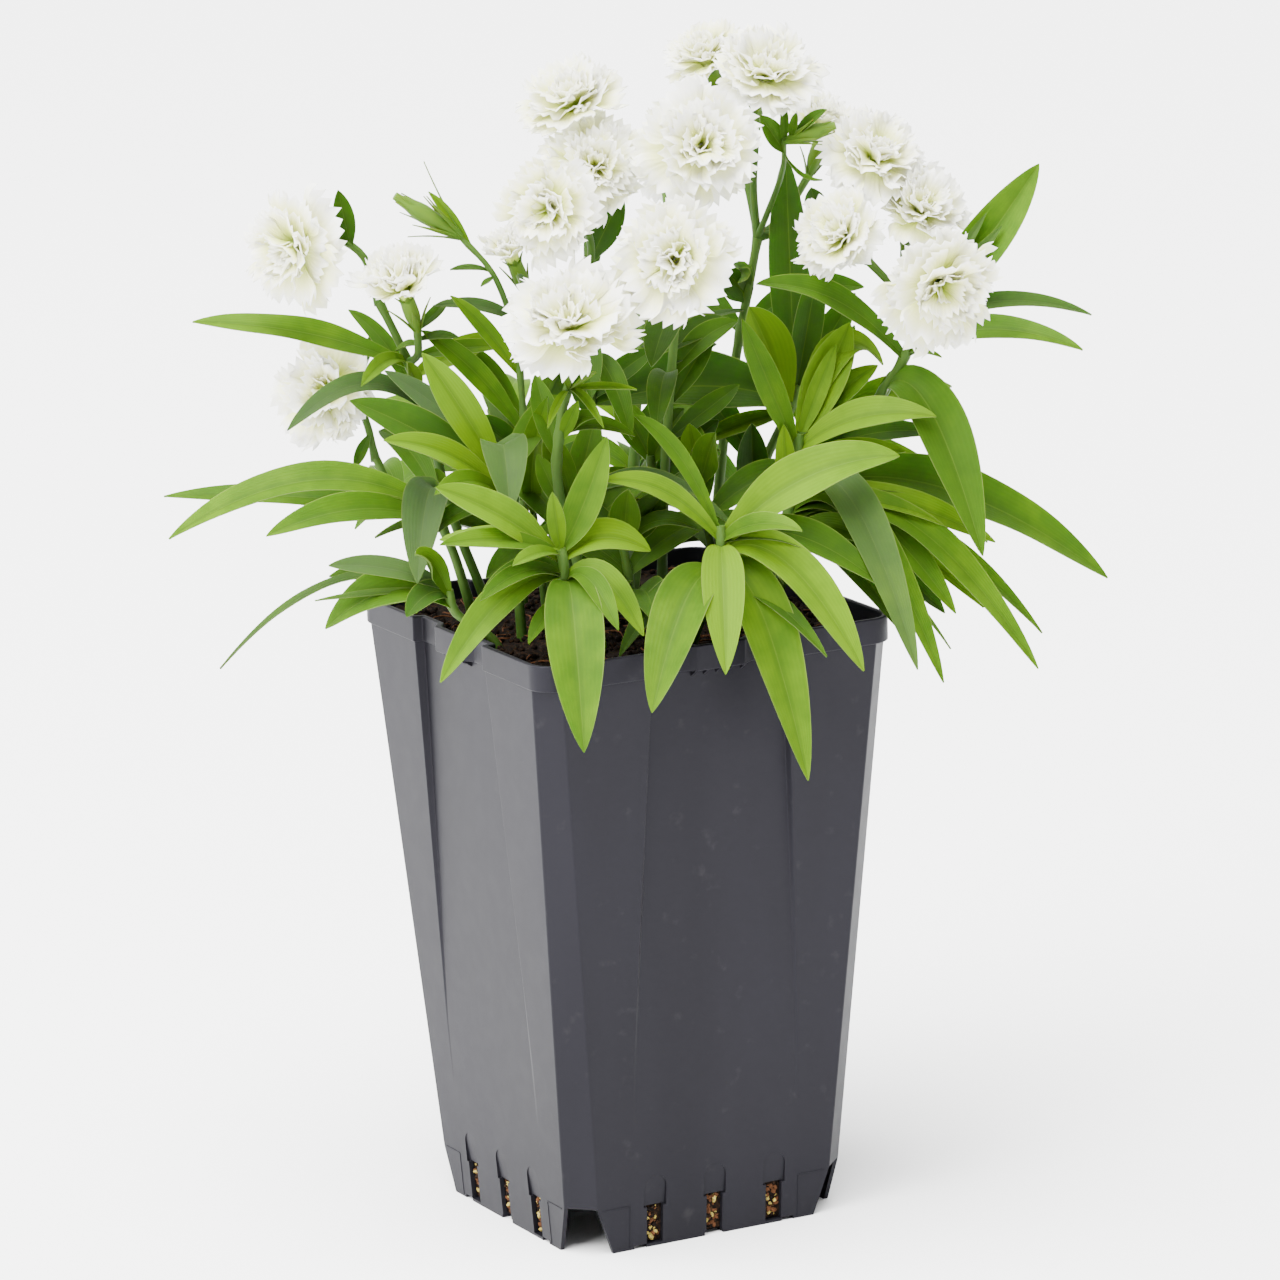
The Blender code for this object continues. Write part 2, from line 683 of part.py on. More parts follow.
BLOOM_RIGHT_BACK = Bloom("bloom_right_back", (101, 26, 329), (0.3, -0.55, 0.75), 16, 0.1)
BLOOM_REAR = Bloom("bloom_rear", (20, 84, 336), (0.1, 0.7, 0.6), 14, 0.1)

ROOTS = {
    "front": (-21, -54), "front_right": (22, -38), "right": (46, -12), "east": (50, 18), "centre": (34, 34),
    "left_centre": (-34, -20), "left": (-50, -2), "left_low": (-42, -32), "west": (-46, 22),
    "west_low": (-60, 36), "front_flower": (-8, -34), "bud": (-26, 4), "middle": (-8, 16),
    "tall": (12, 0), "top": (30, 58), "inner_left": (-14, -12), "inner_front": (4, -24),
    "inner_right": (32, 4), "inner_back": (14, 34), "inner_west": (-34, 30), "rear": (2, 66),
    "rear_left": (-26, 50), "rear_right": (40, 48),
}


def leaf_pairs(foot, top, length, turn, sink):
    """Opposite leaves up a stem, each pair at right angles to the one below and more upright."""
    leaves = []
    for k in range(PAIR_COUNT):
        share = k / (PAIR_COUNT - 1)
        rise = PAIR_LOW_SHARE + (PAIR_HIGH_SHARE - PAIR_LOW_SHARE) * share
        base = [a + (b - a) * rise for a, b in zip(foot, top)]
        angle = radians(turn + 90 * k)
        reach = length * (1 - PAIR_SHORTENING * share)
        climb = sin(PAIR_LOW_CLIMB + (PAIR_HIGH_CLIMB - PAIR_LOW_CLIMB) * share)
        width = PAIR_WIDTH * (1 - PAIR_NARROWING * share)
        front = PAIR_FRONT_FACING if base[1] < FRONT_LIMIT else PAIR_BACK_FACING
        for side in (-1, 1):
            out = side * reach * sqrt(1 - climb * climb)
            tip = (base[0] + out * cos(angle), base[1] + out * sin(angle), base[2] + reach * (climb - sink))
            leaves.append(Leaf(tuple(base), tip, width, reach * PAIR_LIFT_SHARE, front=front, coarse=True))
    return tuple(leaves)


def paired_shoot(name, foot, first, top, length, turn, sink):
    """Leafy shoot whose leaves stand in three regular pairs, from a first height to its top."""
    stem = Stem((*root(*foot), top), PAIR_STEM_RADIUS)
    build_shoot(name, (stem,), leaf_pairs((*foot, first), top, length, turn, sink))


def front_shoot():
    """Rosette that hangs over the pot's front corner."""
    crown = (-19, -60, 231)
    stem = Stem((*root(*ROOTS["front"]), (-20, -58, 217), crown, (-20, -61, 238)), 1.9)
    leaves = (
        Leaf((-20, -60, 229), (-60, -66, 196), 11.5, 9, roll=-10),
        Leaf((-18, -61, 227), (-14, -100, 180), 19, 13), Leaf((-20, -60, 234), (9, -50, 234), 12.5, 6),
        Leaf((-21, -60, 235), (-59, -78, 263), 12, 3), Leaf((-20, -60, 236), (-58, -86, 246), 8, 3),
        Leaf((-20, -60, 237), (-22, -67, 258), 6, 0, front=2),
        Leaf((-20, -60, 237), (-4, -54, 273), 11.5, -3, front=1),
        Leaf((-18, -60, 228), (-2, -84, 216), 8, 7), Leaf((-18, -60, 228), (6, -72, 211), 10, 9))
    build_shoot("front_shoot", (stem,), leaves)


def front_right_shoot():
    """Rosette that hangs over the front right rim."""
    stem = Stem((*root(*ROOTS["front_right"]), (29, -40, 218), (32, -42, 232), (32, -42, 240)), 1.9)
    leaves = (
        Leaf((32, -42, 233), (32, -78, 199), 14, 9), Leaf((32, -42, 231), (77, -58, 194), 15.5, 15),
        Leaf((32, -42, 235), (-6, -56, 259), 8, 7), Leaf((32, -42, 234), (91, -30, 259), 17.5, 8),
        Leaf((32, -42, 235), (58, -58, 241), 8, 4), Leaf((32, -42, 236), (5, -36, 276), 6, 8),
        Leaf((30, -41, 224), (8, -86, 189), 18, 12), Leaf((30, -41, 221), (58, -66, 160), 18, 24),
        Leaf((32, -42, 235), (3, -26, 252), 8, 5))
    build_shoot("front_right_shoot", (stem,), leaves)


def right_shoot():
    """Long-leaved shoot that spreads over the right of the pot."""
    stem = Stem((*root(*ROOTS["right"]), (52, -8, 226), (57, -5, 245), (59, -4, 262)), 1.9)
    leaves = (
        Leaf((58, -4, 257), (41, -16, 303), 9, 0, front=1),
        Leaf((59, -4, 260), (72, 4, 290), 6.5, 0, front=1), Leaf((58, -4, 256), (104, -12, 268), 12, 6),
        Leaf((58, -4, 258), (86, 12, 281), 9, 3), Leaf((57, -5, 243), (162, 24, 204), 20, 15),
        Leaf((56, -6, 240), (95, -46, 191), 14, 28), Leaf((56, -6, 237), (104, -32, 183), 11.5, 24),
        Leaf((55, -6, 233), (136, -16, 183), 12, 24), Leaf((55, -6, 231), (139, 10, 189), 10, 18),
        Leaf((54, -7, 227), (84, -30, 228), 9, 6), Leaf((57, -4, 250), (108, 22, 255), 9, 6),
        Leaf((54, -7, 226), (106, -4, 200), 15, 9),
        Leaf((59, -2, 258), (88, 18, 280), 12.5, 19, coarse=True))
    build_shoot("right_shoot", (stem,), leaves)


def east_stem():
    """Flower stem at the right, with its broad hanging leaf and three blooms."""
    fork = (100, 11, 298)
    stem = Stem((*root(*ROOTS["east"]), (71, 20, 245), (88, 15, 272), (95, 12, 284), fork), 2.0)
    leaves = (
        Leaf((95, 12, 283), (46, -18, 315), 10, 8), Leaf((98, 12, 291), (158, 28, 293), 7, 8),
        Leaf((95, 12, 284), (153, -2, 287), 10, 8), Leaf((100, 11, 297), (141, 24, 345), 15.5, -3, front=1),
        Leaf((88, 15, 272), (118, -22, 223), 18.5, 20))
    blooms = ((fork, BLOOM_RIGHT), (fork, BLOOM_EAST), (fork, BLOOM_RIGHT_BACK))
    build_shoot("east_stem", (stem,), leaves, blooms=blooms)


def centre_shoot():
    """Dark broad-leaved shoot behind the middle of the plant."""
    stem = Stem((*root(*ROOTS["centre"]), (46, 35, 239), (57, 37, 262), (60, 38, 270)), 2.0)
    leaves = (
        Leaf((58, 37, 264), (-8, 14, 270), 25, 6), Leaf((56, 37, 262), (44, 22, 300), 17, 4, front=1),
        Leaf((59, 38, 267), (58, 52, 346), 14, -1, front=1.5),
        Leaf((59, 38, 267), (80, 42, 300), 11.5, 0, front=1), Leaf((47, 35, 240), (8, 58, 284), 12, 6),
        Leaf((59, 38, 266), (68, 30, 314), 10, 0, front=1))
    build_shoot("centre_shoot", (stem,), leaves)


def left_centre_shoot():
    """Upright shoot left of the middle."""
    stem = Stem((*root(*ROOTS["left_centre"]), (-36, -24, 234), (-38, -28, 252), (-39, -28, 258)), 1.9)
    leaves = (
        Leaf((-39, -28, 255), (-63, -38, 299), 12, 2, front=1),
        Leaf((-38, -28, 251), (-87, -38, 284), 14, 3), Leaf((-38, -28, 249), (-76, -50, 273), 9.5, 5),
        Leaf((-39, -28, 256), (-36, -60, 250), 15, 15), Leaf((-38, -28, 248), (-60, -56, 256), 8, 5),
        Leaf((-38, -28, 254), (-19, -14, 279), 10, 3))
    build_shoot("left_centre_shoot", (stem,), leaves)


def left_shoot():
    """Shoot whose long leaves arch out over the left rim."""
    stem = Stem((*root(*ROOTS["left"]), (-55, -8, 223), (-60, -10, 238), (-60, -11, 246)), 1.9)
    leaves = (
        Leaf((-60, -11, 243), (-67, -44, 224), 15, 15), Leaf((-60, -10, 240), (-149, -16, 235), 12.5, 15),
        Leaf((-60, -10, 239), (-152, 14, 243), 9, 3), Leaf((-59, -10, 236), (-116, -34, 239), 11.5, 7),
        Leaf((-60, -11, 243), (-80, 20, 262), 9.5, 6))
    build_shoot("left_shoot", (stem,), leaves)


def left_low_shoot():
    """Short shoot at the left rim."""
    stem = Stem((*root(*ROOTS["left_low"]), (-55, -36, 212), (-57, -37, 220)), 1.7)
    leaves = (
        Leaf((-56, -37, 215), (-98, -32, 207), 15, 9), Leaf((-56, -36, 215), (-97, -12, 220), 8, 6),
        Leaf((-56, -36, 214), (-135, 0, 187), 4, 19), Leaf((-57, -37, 218), (-67, -54, 236), 8, 4))
    build_shoot("left_low_shoot", (stem,), leaves)


def west_stem():
    """Flower stem that leans left, with two blooms."""
    node = (-69, 8, 287)
    stem = Stem((*root(*ROOTS["west"]), (-57, 16, 235), (-63, 12, 266), node, (-78, 7, 308)), 1.8)
    leaves = (
        Leaf((-69, 8, 286), (-140, 12, 302), 10, 4), Leaf((-64, 12, 270), (-109, -10, 269), 8, 12),
        Leaf((-69, 8, 287), (-84, -14, 284), 6.5, 4))
    build_shoot("west_stem", (stem,), leaves, blooms=(((-78, 7, 307), BLOOM_WEST), (node, BLOOM_WEST_CUP)))


def west_low_stem():
    """Short flower stem at the far left, with one bloom."""
    stem = Stem((*root(*ROOTS["west_low"]), (-72, 35, 228), (-82, 34, 250)), 1.5)
    leaves = (Leaf((-72, 35, 228), (-118, 50, 236), 9.5, 8), Leaf((-74, 35, 232), (-84, 70, 236), 9.5, 9))
    build_shoot("west_low_stem", (stem,), leaves, blooms=(((-82, 34, 249), BLOOM_WEST_LOW),))


def bud_stem():
    """Slender stem with a closed bud and a bloom that is only opening."""
    fork = (-33, 1, 298)
    stem = Stem((*root(*ROOTS["bud"]), (-30, 2, 245), fork), 1.4)
    side = Stem((fork, (-40, -3, 318), (-51, -6, 332)), 1.1)
    leaves = (
        Leaf((-47, -5, 328), (-60, -10, 347), 3.5, 1, front=1), Leaf((-32, 2, 270), (-52, 12, 292), 6, 3),
        Leaf((-32, 2, 264), (-64, -4, 300), 8, 4))
    build_shoot("bud_stem", (stem, side), leaves, (Bud((-50, -6, 331), (-71, -10, 346), 3.2),),
                ((fork, BLOOM_OPENING),))


def front_flower_stem():
    """Stem in the middle of the front, with a swollen joint and one bloom."""
    stem = Stem((*root(*ROOTS["front_flower"]), (-20, -36, 250), (-19, -37, 274), (-17, -36, 284)), 2.0)
    leaves = (
        Leaf((-20, -37, 270), (5, -30, 268), 6, 4), Leaf((-20, -36, 262), (-27, -24, 288), 8.5, 0, front=1))
    build_shoot("front_flower_stem", (stem,), leaves, blooms=(((-17, -36, 283), BLOOM_FRONT),))


def middle_stem():
    """Branching flower stem with the three blooms of the left middle."""
    fork = (-9, 14, 306)
    stem = Stem((*root(*ROOTS["middle"]), (-9, 15, 260), fork), 1.9)
    leaves = (Leaf((-9, 14, 285), (4, -6, 262), 8.5, 8), Leaf((-9, 14, 285), (-38, 34, 300), 8.5, 6))
    blooms = ((fork, BLOOM_MIDDLE_LEFT), (fork, BLOOM_MIDDLE_LOW), (fork, BLOOM_HIGH_LEFT))
    build_shoot("middle_stem", (stem,), leaves, blooms=blooms)


def tall_stem():
    """Branching flower stem with the two large blooms right of the middle."""
    fork = (20, 4, 305)
    stem = Stem((*root(*ROOTS["tall"]), (15, 2, 255), fork), 1.9)
    leaves = (Leaf((17, 3, 280), (12, -34, 270), 9.5, 8), Leaf((17, 3, 280), (40, 18, 296), 8.5, 4))
    build_shoot("tall_stem", (stem,), leaves, blooms=((fork, BLOOM_TALL), (fork, BLOOM_EYE)))


def top_stem():
    """Tallest flower stem, with four blooms and a closed bud."""
    fork = (48, 52, 318)
    stem = Stem((*root(*ROOTS["top"]), (36, 58, 255), fork), 2.0)
    leaves = (Leaf((42, 56, 285), (8, 74, 300), 11, 6), Leaf((42, 56, 285), (84, 74, 296), 11, 6))
    stalk = Stem((fork, (56, 34, 342), (57, 22, 356)), 1.1)
    bud = Bud((57, 23, 355), (74, 22, 360), 3.0)
    blooms = ((fork, BLOOM_TOP_LEFT), (fork, BLOOM_TOP), (fork, BLOOM_BACK_RIGHT), (fork, BLOOM_RIGHT_HIGH))
    build_shoot("top_stem", (stem, stalk), leaves, (bud,), blooms)


def inner_shoots():
    """Leafy shoots that fill the inside of the plant."""
    paired_shoot("inner_left_shoot", ROOTS["inner_left"], 208, (-16, -16, 242), 54, 55, 0.05)
    paired_shoot("inner_front_shoot", ROOTS["inner_front"], 204, (0, -24, 232), 46, 100, 0.2)
    paired_shoot("inner_right_shoot", ROOTS["inner_right"], 212, (26, -4, 248), 54, 110, 0.35)
    paired_shoot("inner_back_shoot", ROOTS["inner_back"], 204, (10, 26, 250), 54, 140, 0.35)
    paired_shoot("inner_west_shoot", ROOTS["inner_west"], 204, (-32, 34, 252), 54, 20, 0.05)


def rear_shoot():
    """Leafy flowering stem that fills the back of the plant."""
    stem = Stem((*root(*ROOTS["rear"]), (4, 72, 232), (7, 76, 268), (11, 78, 300)), 1.9)
    leaves = (
        Leaf((4, 73, 234), (10, 122, 196), 18, 18, coarse=True),
        Leaf((4, 73, 234), (-40, 96, 214), 14.5, 14, coarse=True),
        Leaf((5, 74, 248), (44, 100, 240), 13, 10, coarse=True),
        Leaf((5, 74, 248), (-30, 92, 262), 11, 8, coarse=True),
        Leaf((4, 73, 238), (48, 104, 206), 14, 16, coarse=True),
        Leaf((7, 76, 266), (10, 102, 296), 9, 1, coarse=True))
    build_shoot("rear_shoot", (stem,), leaves, blooms=(((11, 78, 299), BLOOM_REAR),))


def rear_left_shoot():
    """Leafy shoot at the back left."""
    stem = Stem((*root(*ROOTS["rear_left"]), (-36, 54, 230), (-42, 57, 256)), 1.9)
    leaves = (
        Leaf((-36, 54, 232), (-92, 88, 214), 14.5, 16, coarse=True),
        Leaf((-36, 54, 232), (-58, 102, 204), 15.5, 16, coarse=True),
        Leaf((-39, 56, 244), (-84, 60, 262), 11, 7, coarse=True),
        Leaf((-39, 56, 246), (-34, 98, 262), 12, 9, coarse=True))
    build_shoot("rear_left_shoot", (stem,), leaves)


def rear_right_shoot():
    """Leafy shoot at the back right."""
    stem = Stem((*root(*ROOTS["rear_right"]), (43, 48, 216), (58, 50, 236), (66, 50, 250)), 1.9)
    leaves = (
        Leaf((57, 50, 234), (124, 66, 208), 15.5, 18, coarse=True),
        Leaf((57, 50, 234), (80, 98, 200), 15.5, 18, coarse=True),
        Leaf((64, 50, 247), (112, 48, 266), 11, 7, coarse=True),
        Leaf((64, 50, 247), (56, 84, 262), 11, 8, coarse=True),
        Leaf((66, 50, 249), (80, 58, 286), 8.5, 1, coarse=True))
    build_shoot("rear_right_shoot", (stem,), leaves)


def main():
    """Build the whole potted plant."""
    clear_scene()
    build_pot()
    build_soil(ROOTS.values())
    for shoot in (front_shoot, front_right_shoot, right_shoot, east_stem, centre_shoot, left_centre_shoot,
                  left_shoot, left_low_shoot, west_stem, west_low_stem, bud_stem, front_flower_stem,
                  middle_stem, tall_stem, top_stem, inner_shoots, rear_shoot, rear_left_shoot,
                  rear_right_shoot):
        shoot()
    for bloom in (BLOOM_WEST, BLOOM_WEST_CUP, BLOOM_WEST_LOW, BLOOM_HIGH_LEFT, BLOOM_MIDDLE_LEFT,
                  BLOOM_MIDDLE_LOW, BLOOM_OPENING, BLOOM_FRONT, BLOOM_TALL, BLOOM_EYE, BLOOM_TOP_LEFT,
                  BLOOM_TOP, BLOOM_BACK_RIGHT, BLOOM_RIGHT_HIGH, BLOOM_RIGHT, BLOOM_EAST, BLOOM_RIGHT_BACK,
                  BLOOM_REAR):
        build_bloom(bloom)


main()
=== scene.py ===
"""Potted dianthus: the looks of its pot, soil, leafy shoots and white double blooms.

Plan sizes are in millimetres and become metres when a point is placed. The plant is laid out in a
turned frame, in which u runs to the right, v runs away from the front and w is the height.
"""

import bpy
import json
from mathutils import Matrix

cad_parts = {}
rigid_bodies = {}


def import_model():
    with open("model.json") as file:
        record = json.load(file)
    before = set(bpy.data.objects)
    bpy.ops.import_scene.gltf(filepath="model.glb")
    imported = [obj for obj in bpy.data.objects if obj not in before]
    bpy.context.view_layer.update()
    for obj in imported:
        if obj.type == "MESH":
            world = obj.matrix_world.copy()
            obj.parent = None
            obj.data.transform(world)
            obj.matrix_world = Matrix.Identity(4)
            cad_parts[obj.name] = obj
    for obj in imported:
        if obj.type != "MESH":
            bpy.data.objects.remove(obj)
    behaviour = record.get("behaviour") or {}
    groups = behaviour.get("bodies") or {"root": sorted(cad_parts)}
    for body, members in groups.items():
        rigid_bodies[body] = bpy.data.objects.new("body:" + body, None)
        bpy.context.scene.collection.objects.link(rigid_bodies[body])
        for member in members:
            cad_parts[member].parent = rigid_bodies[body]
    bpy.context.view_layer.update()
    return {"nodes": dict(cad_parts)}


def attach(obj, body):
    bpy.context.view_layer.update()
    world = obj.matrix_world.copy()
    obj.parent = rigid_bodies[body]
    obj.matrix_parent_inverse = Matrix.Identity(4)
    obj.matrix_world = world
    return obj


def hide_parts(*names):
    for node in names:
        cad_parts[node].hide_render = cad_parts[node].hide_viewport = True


bl_info = {
    "name": "Potted Dianthus",
    "version": (1, 0, 0),
    "blender": (4, 5, 0),
    "location": "View3D > Sidebar > Dianthus",
    "description": "Models a white double dianthus in a square nursery pot",
    "category": "Add Mesh",
}

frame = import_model()

import json
from collections import namedtuple
from math import cos, exp, pi, radians, sin, sqrt
from random import Random

import bmesh
import bpy
from bpy.props import FloatProperty, FloatVectorProperty, IntProperty, PointerProperty
from mathutils import Matrix, Vector, noise

MM = 0.001
PLANT_TURN = radians(28.12)
SOIL_TOP_Z = 198.0
ROOT_DEPTH = 14.0
GAP = 0.3
SQUARE = ((-1, -1), (1, -1), (1, 1), (-1, 1))

# Stage: the camera's target in millimetres, and the rest in metres
CAMERA_TARGET = (5.46, 0.0, 192.15)
FLOOR_REACH = 14.0
LIGHT_TARGET = (0.0, 0.0, 0.25)
SOFT_LIGHTS = (("key_light", (-1.9, -0.6, 1.3), 1.2), ("back_light", (-1.6, 1.8, 1.2), 1.6))
SUN_PLACE = (-0.8, -0.5, 3.0)
SURROUND_FADE = (-0.6, 0.5)

# Pot, with the sizes of its solid
WALL_FOOT_HALF = 50.9
WALL_TAPER = 0.0741
WALL = 1.5
CORNER_CUT_FOOT = 8.4
CORNER_CUT_TOP = 7.2
PANEL_HALF_TOP = 25.3
PANEL_HALF_FOOT = 31.0
PANEL_DEPTH = 3.1
PANEL_FOOT_Z = 63.0
PANEL_STEP = 0.9
WALL_TOP_Z = 196.4
POT_HEIGHT = 205.0
RIM_HALF = 66.2
RIM_WALL = 1.8
RIM_CORNER_RADIUS = 9.0
LOBE_HALF = 11.0
LOBE_EASE = 2.2
LOBE_ROUNDING = 1.4
BAY_EASE = 0.6
FLOOR_UNDER_Z = 16.2
FLOOR_TOP_Z = 18.0
SKIRT_HALF_TOP = 43.8
SKIRT_HALF_FOOT = 36.9
FOOT_INNER = 30.2
FOOT_STEP = 1.2
FOOT_STEP_REACH = 4.0
LIP_INNER = 3.6
LIP_OUTER = 25.6
TROUGH_FOOT_Z = 1.3
TROUGH_FOOT_DEPTH = 3.0
TROUGH_TOP_DEPTH = 8.2
TROUGH_EASE = 0.15
CENTRE_FOOT_HALF = 8.0
SLOT_PITCH = 22.5
SLOT_WIDTH = 6.0
SLOT_FOOT_Z = 1.0
SLOT_TOP_Z = 14.5
SCOOP_WIDTH = 8.3
SCOOP_TOP_Z = 25.0
SCOOP_DEPTH = 0.9
OVERCUT = 3.0
PAST_WALL = 70.0
ARC_POINTS = 4
ARC_LIMIT = 0.45
ROUND_STEPS = 3
FINE_EDGE = 0.6
WALL_HEIGHTS = (0.0, 8.0, FLOOR_UNDER_Z, 40.0, PANEL_FOOT_Z, 90.0, 120.0, 150.0, 175.0, WALL_TOP_Z)
INNER_HEIGHTS = (150.0, 100.0, PANEL_FOOT_Z, FLOOR_TOP_Z)
FLANK_SHARE = 1.1
ARCH_STEPS = 12
ARCH_LAP = 0.5
SCOOP_LEAST = 0.08
RIBS = 5
RIB_HALF = 0.35
BITE = 0.4
OUTLINE_INSET = 1.6
OUTLINE_FOOT_Z = 0.6
OUTLINE_TOP_Z = SLOT_TOP_Z + 1.0
OUTLINE_LEAN = 0.4
OUTLINE_HALF = 0.25
OUTLINE_SINK = 0.3
OUTLINE_STAND = 0.464
SHARP_CORNER = 32
FLAT_WEIGHT = 90

# Soil and what lies on it
SOIL_HALF = 63.0
SOIL_ROWS = 90
SOIL_CORNER = 1.86
SOIL_LIFT = 1.0
SOIL_SWELL = 1.3
SOIL_NOISE = 0.16
LOOSE_REACH = 60.0
CRUMBS = 900
CRUMB_CORNER = 1.9
CRUMB_LIFT = 1.4
FIBRES = 110
FIBRE_CORNER = 1.85
FIBRE_LIFT = 1.9
SLOT_GRAINS = 44

# Numbers of a shoot's materials after its leaves, which have 0
STEM_KIND = 1
CALYX_KIND = 2

# Leaves and stems
INNER_WIDTH = 13
INNER_LIFT = 0.16
LEAF_WIDEST = 0.55
LEAF_FOOT = 0.22
LEAF_SWELL = 1.1
TIP_FALL = 2.1
TIP_ROUND = 0.78
TIP_HALF = 0.18
LEAF_BEND = 0.42
LEAF_LEAN = 0.35
LEAF_TWIST = 14
LEAF_RIPPLE = (0.3, 0.8)
RIPPLE_PITCH = 0.16
RIPPLE_SHIFT = 1.9
STATION_EASE = 1.25
LEAST_STATIONS = 12
MARGIN_RISE = 1.08
MARGIN_THINNING = 0.6
MIDRIB_DEPTH = 0.5
MIDRIB_WIDTH = 0.08
STEM_STEP = 2.5
STEM_SIDES = 12
STEM_NARROWING = 0.25
JOINT_SWELL = 0.3
JOINT_REACH = 2.6
STALK_RADIUS = 1.3

# Calyces and buds
CALYX_FOOT = 1.3
CALYX_SWELL = 1.3
CALYX_SIDES = 16
TEETH = 5
TOOTH_LENGTH = 3.6
TOOTH_WIDTH = 2.4
SCALES = 4
SCALE_WIDTH = 2.6
SCALE_STEPS = 7
SCALE_THICKNESS = 0.35
BUD_FOOT = 0.9
BUD_SIDES = 14
BUD_SCALES = 6

# Petals
CLAW_SHARE = 0.55
CLAW_HALF = 0.07
FAN_HALF = 0.5
RIM_START = 0.6
SHOULDER_DROP = 0.2
FINE_WAVE = 0.35
FAN_BEND = 1.15
CUP_RISE = 0.1
HEART_SINK = 1.2
HEART_RADIUS = 0.9
STYLES = 3
STYLE_REACH = 0.55
STYLE_SPREAD = 0.22

Leaf = namedtuple("Leaf", "base tip width lift sway roll front tone grey",
                  defaults=(0, 0, 0.9, None, 0.08))
Stem = namedtuple("Stem", "points radius")
Bud = namedtuple("Bud", "base tip radius")
Bloom = namedtuple("Bloom", "heart facing radius cup")
Shoot = namedtuple("Shoot", "stems leaves buds blooms", defaults=((), ()))
Whorl = namedtuple("Whorl", "count spread reach height start width")
Petal = namedtuple("Petal", "start out facing sideways length spine ruffle phase waves fold")

# Plan of the blooms: where each heart is, where it faces, its radius and how far it is closed
BLOOMS = {
    "bloom_west": Bloom((-103, 0, 329), (-0.7, -0.7, -0.1), 18.5, 0.0),
    "bloom_west_cup": Bloom((-69, -14, 315), (-0.25, -0.35, 0.9), 16, 0.4),
    "bloom_west_low": Bloom((-96, 24, 275), (-0.35, -0.85, 0.2), 18, 0.0),
    "bloom_high_left": Bloom((-12, 24, 368), (-0.3, -0.45, 0.85), 18, 0.1),
    "bloom_middle_left": Bloom((-6, 12, 349), (0.1, -0.8, 0.5), 18, 0.0),
    "bloom_middle_low": Bloom((-20, -26, 343), (-0.4, -0.85, 0.1), 17, 0.1),
    "bloom_opening": Bloom((-34, 4, 323), (-0.3, -0.3, 0.9), 11, 0.6),
    "bloom_front": Bloom((-15, -46, 306), (0.0, -0.6, 0.8), 22, 0.0),
    "bloom_tall": Bloom((29, 1, 357), (0.1, -0.85, 0.4), 21, 0.0),
    "bloom_eye": Bloom((20, -32, 326), (-0.1, -0.9, 0.3), 20, 0.0),
    "bloom_top_left": Bloom((33, 62, 376), (-0.3, -0.3, 0.9), 14, 0.2),
    "bloom_top": Bloom((51, 32, 374), (0.15, -0.55, 0.8), 19, 0.05),
    "bloom_back_right": Bloom((71, 62, 351), (0.3, -0.2, 0.9), 14, 0.2),
    "bloom_right_high": Bloom((86, 32, 346), (0.35, -0.6, 0.7), 18, 0.0),
    "bloom_right": Bloom((76, 4, 325), (-0.5, -0.6, 0.6), 16, 0.1),
    "bloom_east": Bloom((105, -16, 314), (0.35, -0.9, -0.15), 20, 0.0),
    "bloom_right_back": Bloom((101, 26, 329), (0.3, -0.55, 0.75), 16, 0.1),
    "bloom_rear": Bloom((20, 84, 336), (0.1, 0.7, 0.6), 14, 0.1),
}

# Petal rings, from the outermost and flattest to the innermost and steepest
WHORLS = (
    Whorl(6, 92, 1.1, -1.3, 0.0, 1.1), Whorl(5, 72, 1.05, -0.6, 0.5, 1.1),
    Whorl(5, 52, 0.97, 0.4, 0.2, 1.0), Whorl(5, 33, 0.86, 1.1, 0.6, 0.9), Whorl(4, 14, 0.66, 1.6, 0.1, 0.8))


def root(u, v):
    """Lower end of a stem, straight down in its hole in the soil."""
    return (u, v, SOIL_TOP_Z - ROOT_DEPTH), (u, v, SOIL_TOP_Z + 2)


def leaf_pairs(foot, first, top, length, turn, sink):
    """Three pairs of opposite leaves up a stem, each more upright than the one below."""
    leaves = []
    start = (*foot, first)
    for k in range(3):
        share = k / 2
        base = [a + (b - a) * (0.25 + 0.7 * share) for a, b in zip(start, top)]
        angle = radians(turn + 90 * k)
        reach = length * (1 - 0.35 * share)
        climb = sin(radians(15 + 50 * share))
        lift = reach * INNER_LIFT * (1 - 0.8 * share)
        width = INNER_WIDTH * (1 - 0.2 * share)
        front = 0.9 if base[1] < 30 else -0.6
        for side in (-1, 1):
            out = side * reach * sqrt(1 - climb * climb)
            tip = (base[0] + out * cos(angle), base[1] + out * sin(angle), base[2] + reach * (climb - sink))
            leaves.append(Leaf(tuple(base), tip, width, lift, front=front, tone=0.3 + 0.2 * share, grey=0.2))
    return tuple(leaves)


def paired_shoot(foot, first, top, length, turn, sink):
    """Leafy shoot whose leaves stand in three regular pairs."""
    return Shoot((Stem((*root(*foot), top), 1.8),), leaf_pairs(foot, first, top, length, turn, sink))


